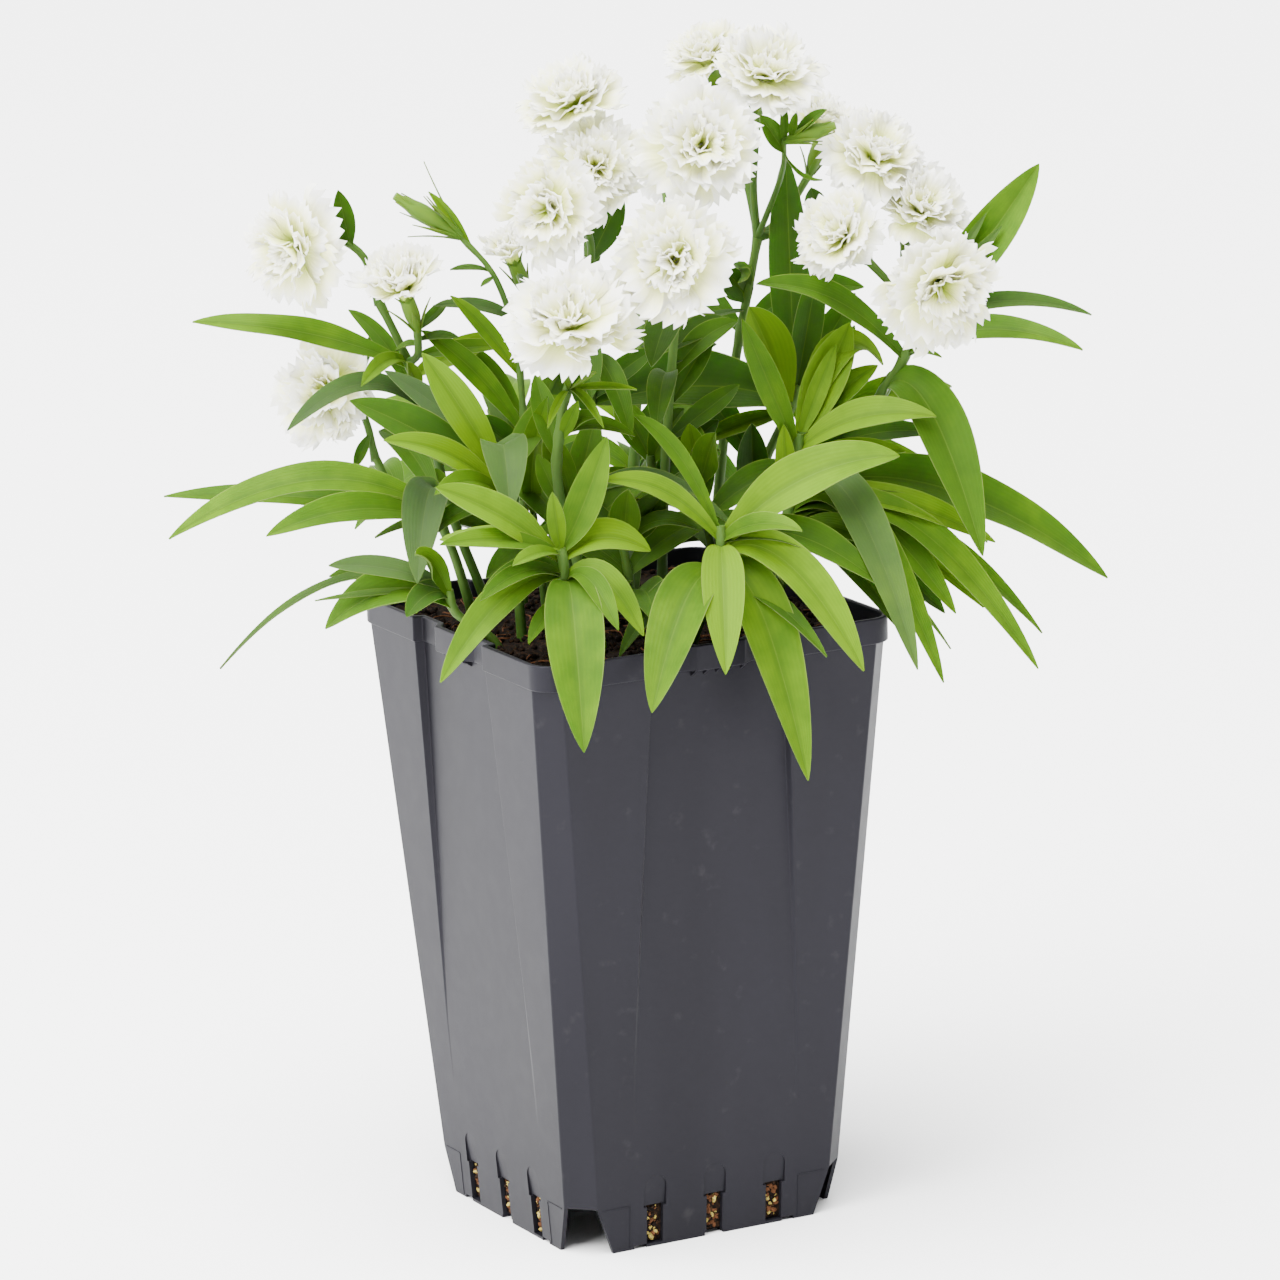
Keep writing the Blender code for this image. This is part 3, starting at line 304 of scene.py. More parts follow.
# Plan of the shoots: stems, leaves, buds and the points that flower stalks branch from
SHOOTS = {
    "front_shoot": Shoot(
        (Stem((*root(-21, -54), (-20, -58, 217), (-19, -60, 231), (-20, -61, 238)), 1.9),),
        (Leaf((-20, -60, 229), (-60, -66, 196), 11.5, 9, roll=-10, tone=0.68),
         Leaf((-18, -61, 227), (-14, -100, 180), 19, 13, tone=0.52),
         Leaf((-20, -60, 234), (9, -50, 234), 12.5, 6, tone=0.85),
         Leaf((-21, -60, 235), (-59, -78, 263), 12, 3, tone=0.88),
         Leaf((-20, -60, 236), (-58, -86, 246), 8, 3, tone=0.6),
         Leaf((-20, -60, 236), (-35, -88, 239), 6, 2, tone=0.75),
         Leaf((-20, -60, 237), (-22, -67, 258), 6, 0, front=2, tone=0.8),
         Leaf((-20, -60, 237), (-4, -54, 273), 11.5, -3, front=1, tone=0.6),
         Leaf((-18, -60, 228), (-2, -84, 216), 8, 7, tone=0.5),
         Leaf((-18, -60, 228), (6, -72, 211), 10, 9, tone=0.75),
         Leaf((-20, -60, 229), (-46, -80, 226), 7, 5, tone=0.35))),
    "front_right_shoot": Shoot(
        (Stem((*root(22, -38), (29, -40, 218), (32, -42, 232), (32, -42, 240)), 1.9),),
        (Leaf((32, -42, 233), (32, -78, 199), 14, 9, tone=0.95),
         Leaf((32, -42, 231), (77, -58, 194), 15.5, 15, tone=0.8),
         Leaf((32, -42, 235), (-6, -56, 259), 8, 7, tone=0.8),
         Leaf((32, -42, 234), (91, -30, 259), 17.5, 8, tone=0.82),
         Leaf((32, -42, 235), (58, -58, 241), 8, 4, tone=0.65),
         Leaf((32, -42, 236), (5, -36, 276), 6, 8, tone=0.5),
         Leaf((30, -41, 224), (8, -86, 189), 18, 12, tone=0.6),
         Leaf((30, -41, 221), (58, -66, 160), 18, 24, tone=0.6),
         Leaf((32, -42, 235), (3, -26, 252), 8, 5, tone=0.3, grey=0.8))),
    "right_shoot": Shoot(
        (Stem((*root(46, -12), (52, -8, 226), (57, -5, 245), (59, -4, 262)), 1.9),),
        (Leaf((58, -4, 257), (41, -16, 303), 9, 0, front=1, tone=0.55),
         Leaf((59, -4, 260), (72, 4, 290), 6.5, 0, front=1),
         Leaf((58, -4, 256), (104, -12, 268), 12, 6, tone=0.85),
         Leaf((58, -4, 258), (86, 12, 281), 9, 3, tone=0.6),
         Leaf((57, -5, 243), (162, 24, 204), 20, 15, tone=0.45),
         Leaf((56, -6, 240), (95, -46, 191), 14, 28, tone=0.5, grey=0.75),
         Leaf((54, -7, 226), (106, -4, 200), 15, 9, tone=0.2),
         Leaf((56, -6, 237), (104, -32, 183), 11.5, 24, tone=0.5),
         Leaf((55, -6, 233), (136, -16, 183), 12, 24, tone=0.55),
         Leaf((55, -6, 231), (139, 10, 189), 10, 18, tone=0.5),
         Leaf((54, -7, 227), (84, -30, 228), 9, 6, tone=0.5),
         Leaf((57, -4, 250), (108, 22, 255), 9, 6, tone=0.25),
         Leaf((59, -2, 258), (88, 18, 280), 12.5, 19, tone=0.75))),
    "east_stem": Shoot(
        (Stem((*root(50, 18), (71, 20, 245), (88, 15, 272), (95, 12, 284), (100, 11, 298)), 2.0),),
        (Leaf((95, 12, 283), (46, -18, 315), 10, 8, tone=0.38),
         Leaf((98, 12, 291), (158, 28, 293), 7, 8, tone=0.4, grey=0.5),
         Leaf((95, 12, 284), (153, -2, 287), 10, 8, tone=0.5),
         Leaf((100, 11, 297), (141, 24, 345), 15.5, -3, front=1, tone=0.55),
         Leaf((88, 15, 272), (118, -22, 223), 18.5, 20, tone=0.42)),
        (),
        (((100, 11, 298), "bloom_right"), ((100, 11, 298), "bloom_east"),
         ((100, 11, 298), "bloom_right_back"))),
    "centre_shoot": Shoot(
        (Stem((*root(34, 34), (46, 35, 239), (57, 37, 262), (60, 38, 270)), 2.0),),
        (Leaf((58, 37, 264), (-8, 14, 270), 25, 6, tone=0.12),
         Leaf((56, 37, 262), (44, 22, 300), 17, 4, front=1, tone=1.0),
         Leaf((59, 38, 267), (58, 52, 346), 14, -1, front=1.5, tone=0.15),
         Leaf((59, 38, 267), (80, 42, 300), 11.5, 0, front=1, tone=0.3),
         Leaf((47, 35, 240), (8, 58, 284), 12, 6, tone=0.2),
         Leaf((59, 38, 266), (68, 30, 314), 10, 0, front=1, tone=0.25))),
    "left_centre_shoot": Shoot(
        (Stem((*root(-34, -20), (-36, -24, 234), (-38, -28, 252), (-39, -28, 258)), 1.9),),
        (Leaf((-39, -28, 255), (-63, -38, 299), 12, 2, front=1, tone=0.88),
         Leaf((-38, -28, 251), (-87, -38, 284), 14, 3, tone=0.2),
         Leaf((-38, -28, 249), (-76, -50, 273), 9.5, 5, tone=0.9),
         Leaf((-39, -28, 256), (-36, -60, 250), 15, 15, tone=0.4, grey=0.65),
         Leaf((-38, -28, 248), (-60, -56, 256), 8, 5, tone=0.6),
         Leaf((-38, -28, 254), (-19, -14, 279), 10, 3, tone=0.4))),
    "left_shoot": Shoot(
        (Stem((*root(-50, -2), (-55, -8, 223), (-60, -10, 238), (-60, -11, 246)), 1.9),),
        (Leaf((-60, -11, 243), (-67, -44, 224), 15, 15, tone=0.3, grey=0.8),
         Leaf((-60, -10, 240), (-149, -16, 235), 12.5, 15, tone=0.62),
         Leaf((-60, -10, 239), (-152, 14, 243), 9, 3, tone=0.45),
         Leaf((-59, -10, 236), (-116, -34, 239), 11.5, 7, tone=0.5),
         Leaf((-60, -11, 243), (-80, 20, 262), 9.5, 6, tone=0.3))),
    "left_low_shoot": Shoot(
        (Stem((*root(-42, -32), (-55, -36, 212), (-57, -37, 220)), 1.7),),
        (Leaf((-56, -37, 215), (-98, -32, 207), 15, 9, tone=0.5),
         Leaf((-56, -36, 215), (-97, -12, 220), 8, 6, tone=0.4),
         Leaf((-56, -36, 214), (-135, 0, 187), 4, 19, tone=0.4, grey=0.5),
         Leaf((-57, -37, 218), (-67, -54, 236), 8, 4, tone=0.6))),
    "west_stem": Shoot(
        (Stem((*root(-46, 22), (-57, 16, 235), (-63, 12, 266), (-69, 8, 287), (-78, 7, 308)), 1.8),),
        (Leaf((-69, 8, 286), (-140, 12, 302), 10, 4, tone=0.6),
         Leaf((-64, 12, 270), (-109, -10, 269), 8, 12, tone=0.35, grey=0.85),
         Leaf((-64, 12, 268), (-89, 26, 302), 6, 6, tone=0.4),
         Leaf((-69, 8, 287), (-84, -14, 284), 6.5, 4, tone=0.65)),
        (),
        (((-78, 7, 307), "bloom_west"), ((-69, 8, 287), "bloom_west_cup"))),
    "west_low_stem": Shoot(
        (Stem((*root(-60, 36), (-72, 35, 228), (-82, 34, 250)), 1.5),),
        (Leaf((-72, 35, 228), (-118, 50, 236), 9.5, 8), Leaf((-74, 35, 232), (-84, 70, 236), 9.5, 9)),
        (),
        (((-82, 34, 249), "bloom_west_low"),)),
    "bud_stem": Shoot(
        (Stem((*root(-26, 4), (-30, 2, 245), (-33, 1, 298)), 1.4),
         Stem(((-33, 1, 298), (-40, -3, 318), (-51, -6, 332)), 1.1)),
        (Leaf((-47, -5, 328), (-60, -10, 347), 3.5, 1, front=1), Leaf((-32, 2, 270), (-52, 12, 292), 6, 3),
         Leaf((-32, 2, 264), (-64, -4, 300), 8, 4, tone=0.5),
         Leaf((-33, 1, 284), (-54, -8, 312), 6, 2, tone=0.65)),
        (Bud((-50, -6, 331), (-71, -10, 346), 3.2),),
        (((-33, 1, 298), "bloom_opening"),)),
    "front_flower_stem": Shoot(
        (Stem((*root(-8, -34), (-20, -36, 250), (-19, -37, 274), (-17, -36, 284)), 2.0),),
        (Leaf((-20, -37, 270), (5, -30, 268), 6, 4, tone=0.5),
         Leaf((-20, -36, 262), (-27, -24, 288), 8.5, 0, front=1, tone=0.4)),
        (),
        (((-17, -36, 283), "bloom_front"),)),
    "middle_stem": Shoot(
        (Stem((*root(-8, 16), (-9, 15, 260), (-9, 14, 306)), 1.9),),
        (Leaf((-9, 14, 285), (4, -6, 262), 8.5, 8, tone=0.3),
         Leaf((-9, 14, 285), (-38, 34, 300), 8.5, 6, tone=0.3)),
        (),
        (((-9, 14, 306), "bloom_middle_left"), ((-9, 14, 306), "bloom_middle_low"),
         ((-9, 14, 306), "bloom_high_left"))),
    "tall_stem": Shoot(
        (Stem((*root(12, 0), (15, 2, 255), (20, 4, 305)), 1.9),),
        (Leaf((17, 3, 280), (12, -34, 270), 9.5, 8, tone=0.25),
         Leaf((17, 3, 280), (40, 18, 296), 8.5, 4, tone=0.3)),
        (),
        (((20, 4, 305), "bloom_tall"), ((20, 4, 305), "bloom_eye"))),
    "top_stem": Shoot(
        (Stem((*root(30, 58), (36, 58, 255), (48, 52, 318)), 2.0),
         Stem(((48, 52, 318), (56, 34, 342), (57, 22, 356)), 1.1)),
        (Leaf((42, 56, 285), (8, 74, 300), 11, 6, tone=0.3),
         Leaf((42, 56, 285), (84, 74, 296), 11, 6, tone=0.3)),
        (Bud((57, 23, 355), (74, 22, 360), 3.0),),
        (((48, 52, 318), "bloom_top_left"), ((48, 52, 318), "bloom_top"),
         ((48, 52, 318), "bloom_back_right"), ((48, 52, 318), "bloom_right_high"))),
    "inner_left_shoot": paired_shoot((-14, -12), 208, (-16, -16, 242), 54, 55, 0.05),
    "inner_front_shoot": paired_shoot((4, -24), 204, (0, -24, 232), 46, 100, 0.2),
    "inner_right_shoot": paired_shoot((32, 4), 212, (26, -4, 248), 54, 110, 0.35),
    "inner_back_shoot": paired_shoot((14, 34), 204, (10, 26, 250), 54, 140, 0.35),
    "inner_west_shoot": paired_shoot((-34, 30), 204, (-32, 34, 252), 54, 20, 0.05),
    "rear_shoot": Shoot(
        (Stem((*root(2, 66), (4, 72, 232), (7, 76, 268), (11, 78, 300)), 1.9),),
        (Leaf((4, 73, 234), (10, 122, 196), 18, 18), Leaf((4, 73, 234), (-40, 96, 214), 14.5, 14),
         Leaf((5, 74, 248), (44, 100, 240), 13, 10), Leaf((5, 74, 248), (-30, 92, 262), 11, 8),
         Leaf((4, 73, 238), (48, 104, 206), 14, 16), Leaf((7, 76, 266), (10, 102, 296), 9, 1)),
        (),
        (((11, 78, 299), "bloom_rear"),)),
    "rear_left_shoot": Shoot(
        (Stem((*root(-26, 50), (-36, 54, 230), (-42, 57, 256)), 1.9),),
        (Leaf((-36, 54, 232), (-92, 88, 214), 14.5, 16), Leaf((-36, 54, 232), (-58, 102, 204), 15.5, 16),
         Leaf((-39, 56, 244), (-84, 60, 262), 11, 7), Leaf((-39, 56, 246), (-34, 98, 262), 12, 9))),
    "rear_right_shoot": Shoot(
        (Stem((*root(40, 48), (43, 48, 216), (58, 50, 236), (66, 50, 250)), 1.9),),
        (Leaf((57, 50, 234), (124, 66, 208), 15.5, 18), Leaf((57, 50, 234), (80, 98, 200), 15.5, 18),
         Leaf((64, 50, 247), (112, 48, 266), 11, 7), Leaf((64, 50, 247), (56, 84, 262), 11, 8),
         Leaf((66, 50, 249), (80, 58, 286), 8.5, 1))),
}


# Small leaves and bracts that only the looks have, by the shoot that they grow on
EXTRA_LEAVES = {
    "front_shoot": (
        Leaf((-20, -61, 238), (-59, -56, 241), 8, 2, tone=0.78),
        Leaf((-19, -60, 230), (-46, -66, 224), 8, 5, tone=0.32),
        Leaf((-20, -58, 220), (-31, -70, 209), 6, 2, tone=0.45)),
    "front_right_shoot": (
        Leaf((29, -40, 219), (-2, -58, 201), 9, 9, tone=0.2),
        Leaf((32, -42, 235), (85, -38, 217), 13, 9, tone=0.3),
        Leaf((29, -40, 219), (65, -62, 200), 7, 8, tone=0.25)),
    "right_shoot": (
        Leaf((55, -6, 238), (54, -8, 266), 7, 0, front=1, tone=0.8),
        Leaf((59, -4, 260), (77, 10, 296), 14, 0, front=1, tone=0.7),
        Leaf((59, -4, 262), (80, 10, 267), 8, 1, front=1, tone=0.2),
        Leaf((58, -5, 250), (94, -4, 255), 9, 3, tone=0.7),
        Leaf((56, -6, 240), (123, -6, 224), 11, 7, tone=0.68),
        Leaf((55, -6, 236), (109, -18, 203), 13, 15, tone=0.45),
        Leaf((54, -7, 235), (119, -2, 201), 8, 10, tone=0.8),
        Leaf((52, -8, 227), (90, -26, 200), 12, 12, tone=0.25),
        Leaf((52, -8, 227), (107, -22, 192), 3, 14, tone=0.6, grey=0.6)),
    "east_stem": (
        Leaf((96, 12, 285), (114, -8, 296), 5, 2, tone=0.6),
        Leaf((96, 12, 285), (106, -12, 288), 2.5, 1, tone=0.5),
        Leaf((98, 11, 293), (128, 16, 326), 5, 0, front=1, tone=0.45, grey=0.6),
        Leaf((99, 11, 296), (123, 18, 330), 4, 0, front=1, tone=0.45, grey=0.6)),
    "centre_shoot": (
        Leaf((56, 37, 261), (23, 22, 253), 8, 1, tone=0.65),
        Leaf((44, 35, 231), (44, 20, 261), 11, 0, front=1, tone=0.1)),
    "left_centre_shoot": (
        Leaf((-39, -28, 258), (-76, -20, 290), 8, 3, tone=0.3, grey=0.85),
        Leaf((-37, -26, 245), (-67, -34, 234), 8, 5, tone=0.22)),
    "left_shoot": (
        Leaf((-60, -10, 240), (-61, 4, 252), 8, 0, front=1, tone=0.4),
        Leaf((-60, -10, 238), (-94, -12, 251), 8, 1, front=1, tone=0.5, grey=0.3)),
    "left_low_shoot": (
        Leaf((-57, -37, 220), (-96, -36, 229), 8, 3, tone=0.4, grey=0.7),
        Leaf((-57, -37, 220), (-101, -34, 217), 2.5, 1, tone=0.6, grey=0.5),
        Leaf((-57, -37, 218), (-71, -44, 213), 9, 4, tone=0.1)),
    "west_stem": (
        Leaf((-68, 9, 282), (-38, 6, 296), 9, 1, tone=0.9),
        Leaf((-67, 2, 290), (-37, 2, 293), 6, 1, tone=0.55),
        Leaf((-66, 10, 276), (-69, -6, 290), 6, 0, front=1, tone=0.85),
        Leaf((-87, 12, 326), (-90, 4, 346), 7, 0, front=1, tone=0.3),
        Leaf((-87, 12, 326), (-93, 6, 331), 3, 0, tone=0.3),
        Leaf((-65, -8, 301), (-55, 2, 309), 4, 0, front=1, tone=0.35, grey=0.3),
        Leaf((-65, -5, 297), (-52, -2, 297), 4, 1, tone=0.35, grey=0.3),
        Leaf((-65, -3, 295), (-73, 4, 292), 3.5, 1, tone=0.4)),
    "west_low_stem": (
        Leaf((-90, 38, 272), (-80, 30, 295), 4, 0, front=1, tone=0.3),
        Leaf((-84, 38, 257), (-89, 26, 248), 4, 0, tone=0.35)),
    "bud_stem": (
        Leaf((-31, 4, 300), (-60, -4, 308), 5, 3, tone=0.4, grey=0.85),
        Leaf((-29, 2, 236), (-23, -36, 283), 9, 0, front=1, sway=-2.5, tone=0.55),
        Leaf((-41, -3, 319), (-54, -4, 320), 2.5, 1, tone=0.35, grey=0.4),
        Leaf((-40, -3, 317), (-44, -8, 315), 2, 0, tone=0.35, grey=0.3),
        Leaf((-29, 8, 307), (-32, -6, 318), 6, 0, front=1, tone=0.3)),
    "front_flower_stem": (
        Leaf((-19, -36, 245), (-27, -26, 262), 7, 0, front=1, tone=0.3),
        Leaf((-16, -35, 285), (-23, -52, 276), 3, 2, tone=0.75),
        Leaf((-16, -35, 285), (6, -48, 287), 3.4, 1, tone=0.75),
        Leaf((-16, -35, 285), (-5, -54, 276), 3.2, 3, tone=0.7),
        Leaf((-16, -35, 285), (-7, -52, 294), 3, 0, tone=0.8),
        Leaf((-16, -35, 285), (-18, -54, 295), 3, 0, tone=0.6),
        Leaf((-19, -37, 269), (-13, -44, 283), 5, 0, front=1, tone=0.6),
        Leaf((-19, -37, 269), (-7, -42, 277), 5.5, 3, tone=0.5)),
    "middle_stem": (
        Leaf((-19, -23, 343), (-37, 8, 341), 3, 0, tone=0.3),
        Leaf((-8, 19, 318), (3, 16, 340), 10, 0, front=1, tone=0.1),
        Leaf((-9, 14, 294), (-9, -6, 276), 8, 2, tone=0.15),
        Leaf((-9, 15, 272), (12, 20, 287), 8, 1, front=1, tone=0.12),
        Leaf((-9, 15, 265), (-14, 20, 280), 8, 1, front=1, tone=0.12)),
    "tall_stem": (
        Leaf((20, 4, 305), (11, -36, 292), 11.5, 3, front=1.5, tone=0.2),
        Leaf((18, 3, 290), (37, 34, 294), 10, 1, tone=0.15),
        Leaf((18, 3, 285), (33, 26, 287), 5, 1, tone=0.3, grey=0.7),
        Leaf((17, 3, 272), (32, 14, 294), 8, 0, front=1, tone=0.2),
        Leaf((16, 2, 260), (40, 16, 275), 8, 0, front=1, tone=0.2)),
    "top_stem": (
        Leaf((43, 54, 293), (8, 20, 288), 4, 2, tone=0.3, grey=0.85),
        Leaf((44, 54, 299), (41, 44, 309), 7, 3, tone=0.35, grey=0.5),
        Leaf((44, 54, 296), (37, 50, 307), 12, 1, front=1, tone=0.15),
        Leaf((57, 26, 351), (49, 16, 365), 7, 0, front=1, tone=0.4),
        Leaf((57, 24, 354), (57, 16, 369), 3, 0, front=1, tone=0.35),
        Leaf((59, 23, 356), (61, 14, 366), 3, 0, front=1, tone=0.35),
        Leaf((60, 23, 356), (71, 18, 366), 4, 1, tone=0.3),
        Leaf((57, 27, 350), (69, 16, 343), 1.6, -3, tone=0.4),
        Leaf((68, 47, 327), (66, 42, 336), 7, 0, front=1, tone=0.1)),
    "inner_left_shoot": (
        Leaf((-16, -16, 242), (36, -34, 238), 8, 12, tone=0.22, grey=0.5),
        Leaf((-15, -14, 223), (-21, -40, 216), 9, 5, tone=0.15)),
    "inner_front_shoot": (
        Leaf((0, -24, 230), (15, -22, 248), 11, 0, front=1, tone=0.35),
        Leaf((0, -24, 232), (-20, -24, 246), 10, 1, front=1, tone=0.15),
        Leaf((0, -24, 230), (25, -34, 237), 7, 6, tone=0.2),
        Leaf((2, -24, 218), (-8, -44, 210), 9, 5, tone=0.15)),
    "inner_right_shoot": (
        Leaf((26, -4, 248), (23, -2, 266), 9, 0, front=1, tone=0.6),
        Leaf((27, -2, 238), (26, -6, 261), 9, 1, front=1, tone=0.25),
        Leaf((28, -1, 231), (48, -24, 224), 9, 6, tone=0.2)),
    "inner_back_shoot": (
        Leaf((11, 28, 240), (33, 22, 262), 11, 1, front=1, tone=0.12),),
    "inner_west_shoot": (
        Leaf((-32, 34, 247), (-50, 20, 265), 10, 2, front=1, tone=0.2),
        Leaf((-33, 33, 234), (-7, 24, 256), 10, 2, front=1, tone=0.12)),
}


def at(u, v, w):
    """A point of the plant's frame in the pot's frame, in millimetres."""
    return Vector((u * cos(PLANT_TURN) + v * sin(PLANT_TURN), v * cos(PLANT_TURN) - u * sin(PLANT_TURN), w))


def smooth(share):
    """Ease a share between 0 and 1 in and out."""
    share = min(max(share, 0.0), 1.0)
    return share * share * (3 - 2 * share)


class Shell:
    """Collects closed surfaces, with a colour value at each point, for one mesh."""

    def __init__(self):
        self.points = []
        self.values = []
        self.faces = []
        self.kinds = []

    def grid(self, rows, values, kind, closed=False):
        """Add a surface from rows of points, as a tube when closed, and return its first point's number."""
        first = len(self.points)
        width = len(rows[0])
        for row, shades in zip(rows, values):
            self.points += row
            self.values += shades
        for i in range(len(rows) - 1):
            for j in range(width if closed else width - 1):
                a = first + i * width + j
                b = first + i * width + (j + 1) % width
                self.faces.append((a, b, b + width, a + width))
                self.kinds.append(kind)
        return first

    def face(self, numbers, kind):
        """Add one face by its points' numbers."""
        self.faces.append(tuple(numbers))
        self.kinds.append(kind)

    def tube(self, path, radii, sides, kind, shade=0.5):
        """Add a closed tube along a path."""
        rows = []
        values = []
        side = None
        last = len(path) - 1
        for k, point in enumerate(path):
            along = (path[min(k + 1, last)] - path[max(k - 1, 0)]).normalized()
            side = along.orthogonal() if side is None else side - along * side.dot(along)
            side.normalize()
            other = along.cross(side)
            turns = [2 * pi * j / sides for j in range(sides)]
            rows.append([point + (side * cos(turn) + other * sin(turn)) * radii[k] for turn in turns])
            values.append([(k / last, j / sides, shade, 0.0) for j in range(sides)])
        first = self.grid(rows, values, kind, closed=True)
        self.face(reversed(range(first, first + sides)), kind)
        end = first + last * sides
        self.face(range(end, end + sides), kind)

    def plate(self, upper, lower, values, kind):
        """Add a thin closed plate from matching upper and lower rows of points."""
        width = len(upper[0])
        high = self.grid(upper, values, kind)
        flipped = [list(reversed(row)) for row in lower]
        under = [[(a, b, c, d + 2.0) for a, b, c, d in reversed(row)] for row in values]
        low = self.grid(flipped, under, kind)
        rows = len(upper)

        def top(i, j):
            return high + i * width + j

        def bottom(i, j):
            return low + i * width + width - 1 - j

        end = rows - 1
        side = width - 1
        for i in range(end):
            self.face((top(i, 0), top(i + 1, 0), bottom(i + 1, 0), bottom(i, 0)), kind)
            self.face((top(i + 1, side), top(i, side), bottom(i, side), bottom(i + 1, side)), kind)
        for j in range(side):
            self.face((top(0, j + 1), top(0, j), bottom(0, j), bottom(0, j + 1)), kind)
            self.face((top(end, j), top(end, j + 1), bottom(end, j + 1), bottom(end, j)), kind)

    def make(self, name, materials, angle=50):
        """Turn what was collected into an object."""
        mesh = bpy.data.meshes.new(name)
        mesh.from_pydata([p * MM for p in self.points], [], self.faces)
        for item in materials:
            mesh.materials.append(item)
        mesh.polygons.foreach_set("material_index", self.kinds)
        layer = mesh.attributes.new("growth", "FLOAT_COLOR", "POINT")
        layer.data.foreach_set("color", [x for value in self.values for x in value])
        work = bmesh.new()
        work.from_mesh(mesh)
        bmesh.ops.recalc_face_normals(work, faces=work.faces)
        work.to_mesh(mesh)
        work.free()
        mesh.shade_smooth()
        mesh.set_sharp_from_angle(angle=radians(angle))
        made = bpy.data.objects.new(name, mesh)
        bpy.context.scene.collection.objects.link(made)
        return made


def loft(rings):
    """Return the points and faces of a closed solid through rings of equal length."""
    count = len(rings[0])
    points = [p for ring in rings for p in ring]
    faces = [tuple(reversed(range(count)))]
    for level in range(len(rings) - 1):
        low = level * count
        for k in range(count):
            a, b = low + k, low + (k + 1) % count
            faces += [(a, b, b + count), (a, b + count, a + count)]
    top = (len(rings) - 1) * count
    faces.append(tuple(range(top, top + count)))
    return points, faces


def turned(solid, turn):
    """Turn a solid about the pot's axis by quarter turns."""
    points, faces = solid
    spin = Matrix.Rotation(turn * pi / 2, 3, "Z")
    return [spin @ Vector(p) for p in points], faces


def shifted(solid, offset):
    """Move a solid along the front face."""
    points, faces = solid
    return [Vector(p) + Vector((offset, 0, 0)) for p in points], faces


def combine(target, solids, operation):
    """Apply one Boolean of a mesh object with a collection of closed solids."""
    tools = bpy.data.collections.new("tools")
    bpy.context.scene.collection.children.link(tools)
    for points, faces in solids:
        mesh = bpy.data.meshes.new("tool")
        mesh.from_pydata([Vector(p) * MM for p in points], [], faces)
        work = bmesh.new()
        work.from_mesh(mesh)
        bmesh.ops.recalc_face_normals(work, faces=work.faces)
        work.to_mesh(mesh)
        work.free()
        tools.objects.link(bpy.data.objects.new("tool", mesh))
    cut = target.modifiers.new("cut", "BOOLEAN")
    cut.operand_type = "COLLECTION"
    cut.collection = tools
    cut.operation = operation
    cut.solver = "EXACT"
    seen = target.evaluated_get(bpy.context.evaluated_depsgraph_get())
    target.data = bpy.data.meshes.new_from_object(seen)
    target.modifiers.remove(cut)
    for tool in list(tools.objects):
        bpy.data.objects.remove(tool, do_unlink=True)
    bpy.data.collections.remove(tools)


def wall_half(z):
    """Half the pot's outer width at a height."""
    return WALL_FOOT_HALF + WALL_TAPER * z


def share_up(z, low, high):
    """How far a height lies between two others, from 0 to 1."""
    return min(max((z - low) / (high - low), 0.0), 1.0)


def arc(before, point, after, reach, count):
    """Points of the round arc that softens one corner of an outline."""
    inward = before - point
    outward = after - point
    reach = min(reach, ARC_LIMIT * inward.length, ARC_LIMIT * outward.length)
    inward.normalize()
    outward.normalize()
    weight = sqrt(max((1 - inward.dot(outward)) / 2, 0.0))
    near = point + inward * reach
    far = point + outward * reach
    places = []
    for k in range(count):
        s = k / (count - 1)
        a, b, c = (1 - s) ** 2, 2 * s * (1 - s) * weight, s * s
        places.append((near * a + point * b + far * c) / (a + b + c))
    return places


def ring_of(corners, z):
    """Closed ring at a height from one side's corners of (x, y, reach, points), repeated on four sides."""
    outline = []
    for turn in range(4):
        spin = Matrix.Rotation(turn * pi / 2, 3, "Z")
        outline += [(spin @ Vector((x, y, z)), reach, count) for x, y, reach, count in corners]
    ring = []
    for k, (point, reach, count) in enumerate(outline):
        ring += arc(outline[k - 1][0], point, outline[(k + 1) % len(outline)][0], reach, count)
    return ring


def wall_ring(z, inset, edge):
    """Outline of the wall with its recessed panel and its cut corner, moved in by an inset."""
    half = wall_half(z)
    rise = share_up(z, PANEL_FOOT_Z, WALL_TOP_Z)
    corner = CORNER_CUT_FOOT + (CORNER_CUT_TOP - CORNER_CUT_FOOT) * share_up(z, 0, WALL_TOP_Z)
    end = half - inset - (corner - inset * (2 - sqrt(2)))
    panel = PANEL_HALF_FOOT + (PANEL_HALF_TOP - PANEL_HALF_FOOT) * rise + inset
    flush = -(half - inset)
    deep = flush + PANEL_DEPTH * rise
    lobe = LOBE_HALF - inset
    fine = edge * FINE_EDGE
    corners = [(-panel, flush, fine), (PANEL_STEP - panel, deep, fine), (-lobe - LOBE_EASE, deep, fine),
               (-lobe, deep, fine), (LOBE_EASE - lobe, deep, fine), (lobe - LOBE_EASE, deep, fine),
               (lobe, deep, fine), (lobe + LOBE_EASE, deep, fine), (panel - PANEL_STEP, deep, fine),
               (panel, flush, fine), (end, flush, edge), (-flush, -end, edge)]
    return ring_of([(*place, ARC_POINTS) for place in corners], z)


